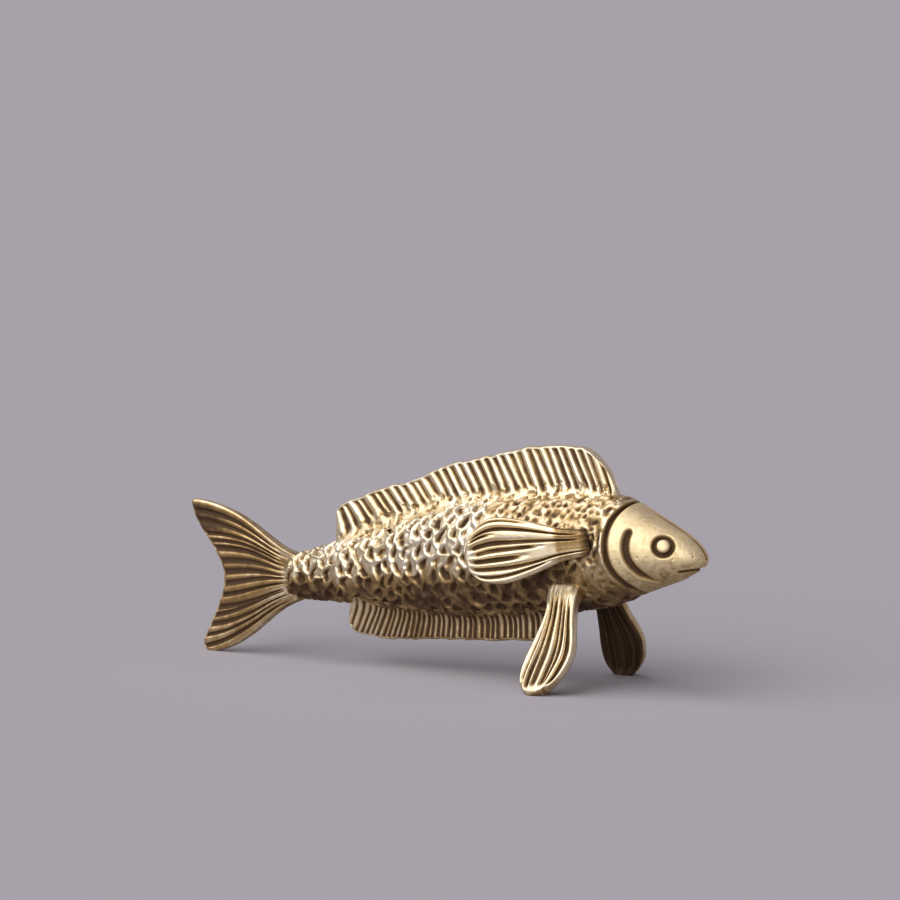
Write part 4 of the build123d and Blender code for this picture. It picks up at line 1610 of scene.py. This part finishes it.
def pectoral_fin(form: BodyForm) -> FanFin:
    """The right pectoral fin, behind the gill cover.

    Args:
        form: Body that it stands on.

    Returns:
        The fin, ready to build.
    """
    setback, lift, off_skin = 1.2, 0.9, 0.45
    flare, droop = math.radians(16), math.radians(8)
    along = (-math.cos(flare) * math.cos(droop), -math.sin(flare) * math.cos(droop), -math.sin(droop))
    outward = np.array([math.sin(flare), -math.cos(flare), 0.0])
    x = form.gill_x - setback
    foot = form.flank(x, form.section(x)[0] + lift)
    upper = [(0.1, 1.25), (1.2, 1.3), (2.6, 1.6), (5.2, 2.5), (7.6, 3.0), (9.0, 2.55), (9.9, 1.6)]
    lower = [(0.1, -1.05), (1.2, -1.1), (2.6, -1.3), (4.6, -2.0), (7.0, -2.55), (9.0, -2.4), (10.0, -1.6)]
    tip = [(9.9, 1.6), (10.4, 0.7), (10.55, -0.2), (10.4, -1.0), (10.0, -1.6)]
    rays = [(0.045, 0.016, 0.3), (0.175, 0.034, -0.08), (0.255, 0.022, 0.62), (0.37, 0.042, -0.08),
            (0.49, 0.036, 0.2), (0.605, 0.036, 0.36), (0.76, 0.042, -0.08), (0.87, 0.028, 0.2)]
    return FanFin(name="pectoral_right_cast", upper=upper, lower=lower, tip=tip,
                  origin=foot + off_skin * outward, along=along, rise=np.cross(along, outward), rays=rays,
                  thickness=1.05, flare=1.3, flare_end=0.16, tuck=-0.5 * outward, tuck_end=0.08, brown=0.24,
                  seed=110, depth=0.42, rim=0.96, shade=0.7)


def pelvic_fin(form: BodyForm) -> FanFin:
    """The right pelvic fin, which the fish stands on.

    Args:
        form: Body that it stands on.

    Returns:
        The fin, ready to build.
    """
    setback, root_height = 3.8, 8.0
    splay = math.radians(29)
    upper = [(-0.9, 1.5), (0.6, 1.3), (2.4, 1.65), (5.2, 2.4), (7.4, 1.85), (8.5, 1.0)]
    lower = [(-0.9, -2.3), (0.6, -1.6), (2.4, -1.3), (6.2, -2.0), (8.0, -1.95), (8.8, -1.45)]
    tip = [(8.5, 1.0), (9.15, 0.2), (9.35, -0.5), (9.2, -1.0), (8.8, -1.45)]
    # The face turned to the body's middle gets 0.68 of painted shade.
    return FanFin(name="pelvic_right_cast", upper=upper, lower=lower, tip=tip,
                  origin=form.flank(form.gill_x - setback, root_height),
                  along=(0.0, -math.sin(splay), -math.cos(splay)), rise=(1.0, 0.0, 0.0),
                  rays=ray_places(count=6, margin=0.07, fill=0.7, start=0.08, seed=63), thickness=1.3,
                  flare=2.2, tuck=(0.0, 1.7, 0.5), tuck_end=0.17, seed=120, depth=0.42, rim=0.95, inner_shade=0.68,
                  soft=2.5, shade=0.7)


def stand_flat(obj: Piece) -> None:
    """Files a fin flat at the floor.

    Args:
        obj: The fin.
    """
    points = read_points(obj)
    points[:, 2] = np.maximum(points[:, 2], 0.0)
    write_points(obj, points)


def other_side(obj: Piece, name: str) -> Piece:
    """Copies a right fin to the left side, as its mirror image painted a little darker all over as shade for
    the side turned from the light.

    Args:
        obj: The right fin.
        name: Name of the left one.

    Returns:
        The left fin.
    """
    pick(obj)
    bpy.ops.object.duplicate()
    copy = take(name)
    with editing(copy):
        bpy.ops.transform.resize(value=(1, -1, 1), center_override=(0, 0, 0))
        bpy.ops.mesh.normals_make_consistent(inside=False)
    # Painted shade: the left fin, turned from the light, is marked 0.2 darker all over.
    mark(copy, "patina", marked(copy, "patina") + 0.2)
    return copy


# Studio


def look_along(direction: Vector) -> Euler:
    """Turn of a lamp or camera that looks in a direction."""
    return direction.to_track_quat("-Z", "Y").to_euler()


@dataclass(frozen=True)
class SoftLight:
    """Broad soft light.

    Attributes:
        name: Name of the lamp.
        source: Direction that its light comes from.
        level: Light on a surface turned to it.
        spread: Angle that it fills, in degrees.
    """

    name: str
    source: Triple
    level: float
    spread: float

    def on_floor(self) -> float:
        """Light that it gives a level floor."""
        return self.level * Vector(self.source).normalized().z

    def build(self) -> None:
        """Sets up the lamp."""
        deselect()
        bpy.ops.object.light_add(type="SUN", location=(0, 0, 1))
        lamp = take(self.name)
        lamp.data.energy = self.level
        lamp.data.angle = math.radians(self.spread)
        lamp.rotation_euler = look_along(-Vector(self.source))


@dataclass
class Studio:
    """Plain floor, soft light and the camera, in metres."""

    floor_size: float = 80.0
    floor_colour: Triple = (0.5, 0.47, 0.515)
    room_colour: Triple = (0.17, 0.162, 0.17)
    lights: tuple[SoftLight, ...] = (
        SoftLight("overhead", (-0.42, -0.40, 0.82), 1.66, 68.0),
        SoftLight("front", (0.12, -0.95, 0.31), 1.7, 60.0),
    )
    camera_place: Triple = (0.17886, -0.26484, 0.04517)
    camera_aim: Triple = (0.001211, 0.0, 0.018688)
    camera_near: float = 0.01
    lens: float = 153.54
    sensor: float = 36.0

    def build(self) -> None:
        """Sets up the stage."""
        self.floor()
        for light in self.lights:
            light.build()
        self.camera()
        self.room()
        bpy.context.scene.view_settings.view_transform = "Standard"

    def room(self) -> None:
        """Even light from all round, and the floor's colour where the view goes past the floor."""
        world = bpy.context.scene.world or bpy.data.worlds.new("room")
        bpy.context.scene.world = world
        world.use_nodes = True
        desk = NodeDesk(world.node_tree)
        nodes = desk.tree.nodes
        desk.feed(nodes["Background"].inputs["Color"], self.room_colour)
        seen = desk.add("Background", {"Color": self.lit_floor()})
        path = desk.add("LightPath", {}).outputs
        mirrored = desk.math("MAXIMUM", path["Is Glossy Ray"], path["Is Transmission Ray"])
        mixer = desk.add("MixShader", {"Fac": desk.math("MAXIMUM", path["Is Camera Ray"], mirrored),
                                       1: nodes["Background"].outputs[0], 2: seen.outputs[0]})
        desk.feed(nodes["World Output"].inputs["Surface"], mixer.outputs[0])

    def floor(self) -> None:
        """Floor that runs out of sight."""
        deselect()
        bpy.ops.mesh.primitive_plane_add(size=self.floor_size, location=(0, 0, 0))
        floor = take("floor")
        material = bpy.data.materials.new("floor_grey")
        material.use_nodes = True
        shader = material.node_tree.nodes["Principled BSDF"].inputs
        shader["Base Color"].default_value = (*self.floor_colour, 1.0)
        shader["Roughness"].default_value = 1.0
        shader["Specular IOR Level"].default_value = 0.0
        floor.data.materials.append(material)

    def lit_floor(self) -> tuple[float, ...]:
        """Colour of the floor in this light, which the backdrop takes up."""
        lamps = sum(light.on_floor() for light in self.lights) / math.pi
        return tuple(floor * (lamps + room) for floor, room in zip(self.floor_colour, self.room_colour))

    def camera(self) -> None:
        """Camera at the photograph's viewing angle."""
        deselect()
        bpy.ops.object.camera_add(location=self.camera_place)
        camera = bpy.context.active_object
        camera.rotation_euler = look_along(Vector(self.camera_aim) - Vector(self.camera_place))
        camera.data.lens = self.lens
        camera.data.sensor_width = self.sensor
        camera.data.clip_start = self.camera_near
        bpy.context.scene.camera = camera


def main() -> None:
    """Builds the fish piece by piece, then its stage."""
    form = BodyForm()
    groups = BrassGroups()
    scaled = AntiqueBrass("antique_brass_scaled", light=(0.86, 0.79, 0.63), deep=(0.77, 0.655, 0.445),
                          film_and_shade=(0.5, 0.335, 0.14)).material(groups)
    smooth = AntiqueBrass("antique_brass_smooth", light=(0.86, 0.725, 0.43), polish=0.47).material(groups)
    finned = AntiqueBrass("antique_brass_fin").material(groups)
    finish_piece(Trunk(form).build(), "trunk", Slot.SCALED, scaled)
    head = Head(form)
    finish_piece(head.build(), "head", Slot.SMOOTH, smooth)
    for side in Side:
        finish_piece(Eye(head, side).build(), f"eye_{side.name.lower()}", Slot.SMOOTH, smooth)
    finish_piece(dorsal_fin(form).build(), "dorsal_fin", Slot.FIN, finned)
    finish_piece(anal_fin(form).build(), "anal_fin", Slot.FIN, finned)
    tail = tail_fin().build()
    stand_flat(tail)
    finish_piece(tail, "tail_fin", Slot.FIN, finned)
    for fin, node in ((pectoral_fin(form), "pectoral_fin"), (pelvic_fin(form), "pelvic_fin")):
        right = fin.build()
        stand_flat(right)
        left = other_side(right, right.name.replace("right", "left"))
        finish_piece(right, f"{node}_right", Slot.FIN, finned)
        finish_piece(left, f"{node}_left", Slot.FIN, finned)
    Studio().build()


if __name__ == "__main__":
    main()
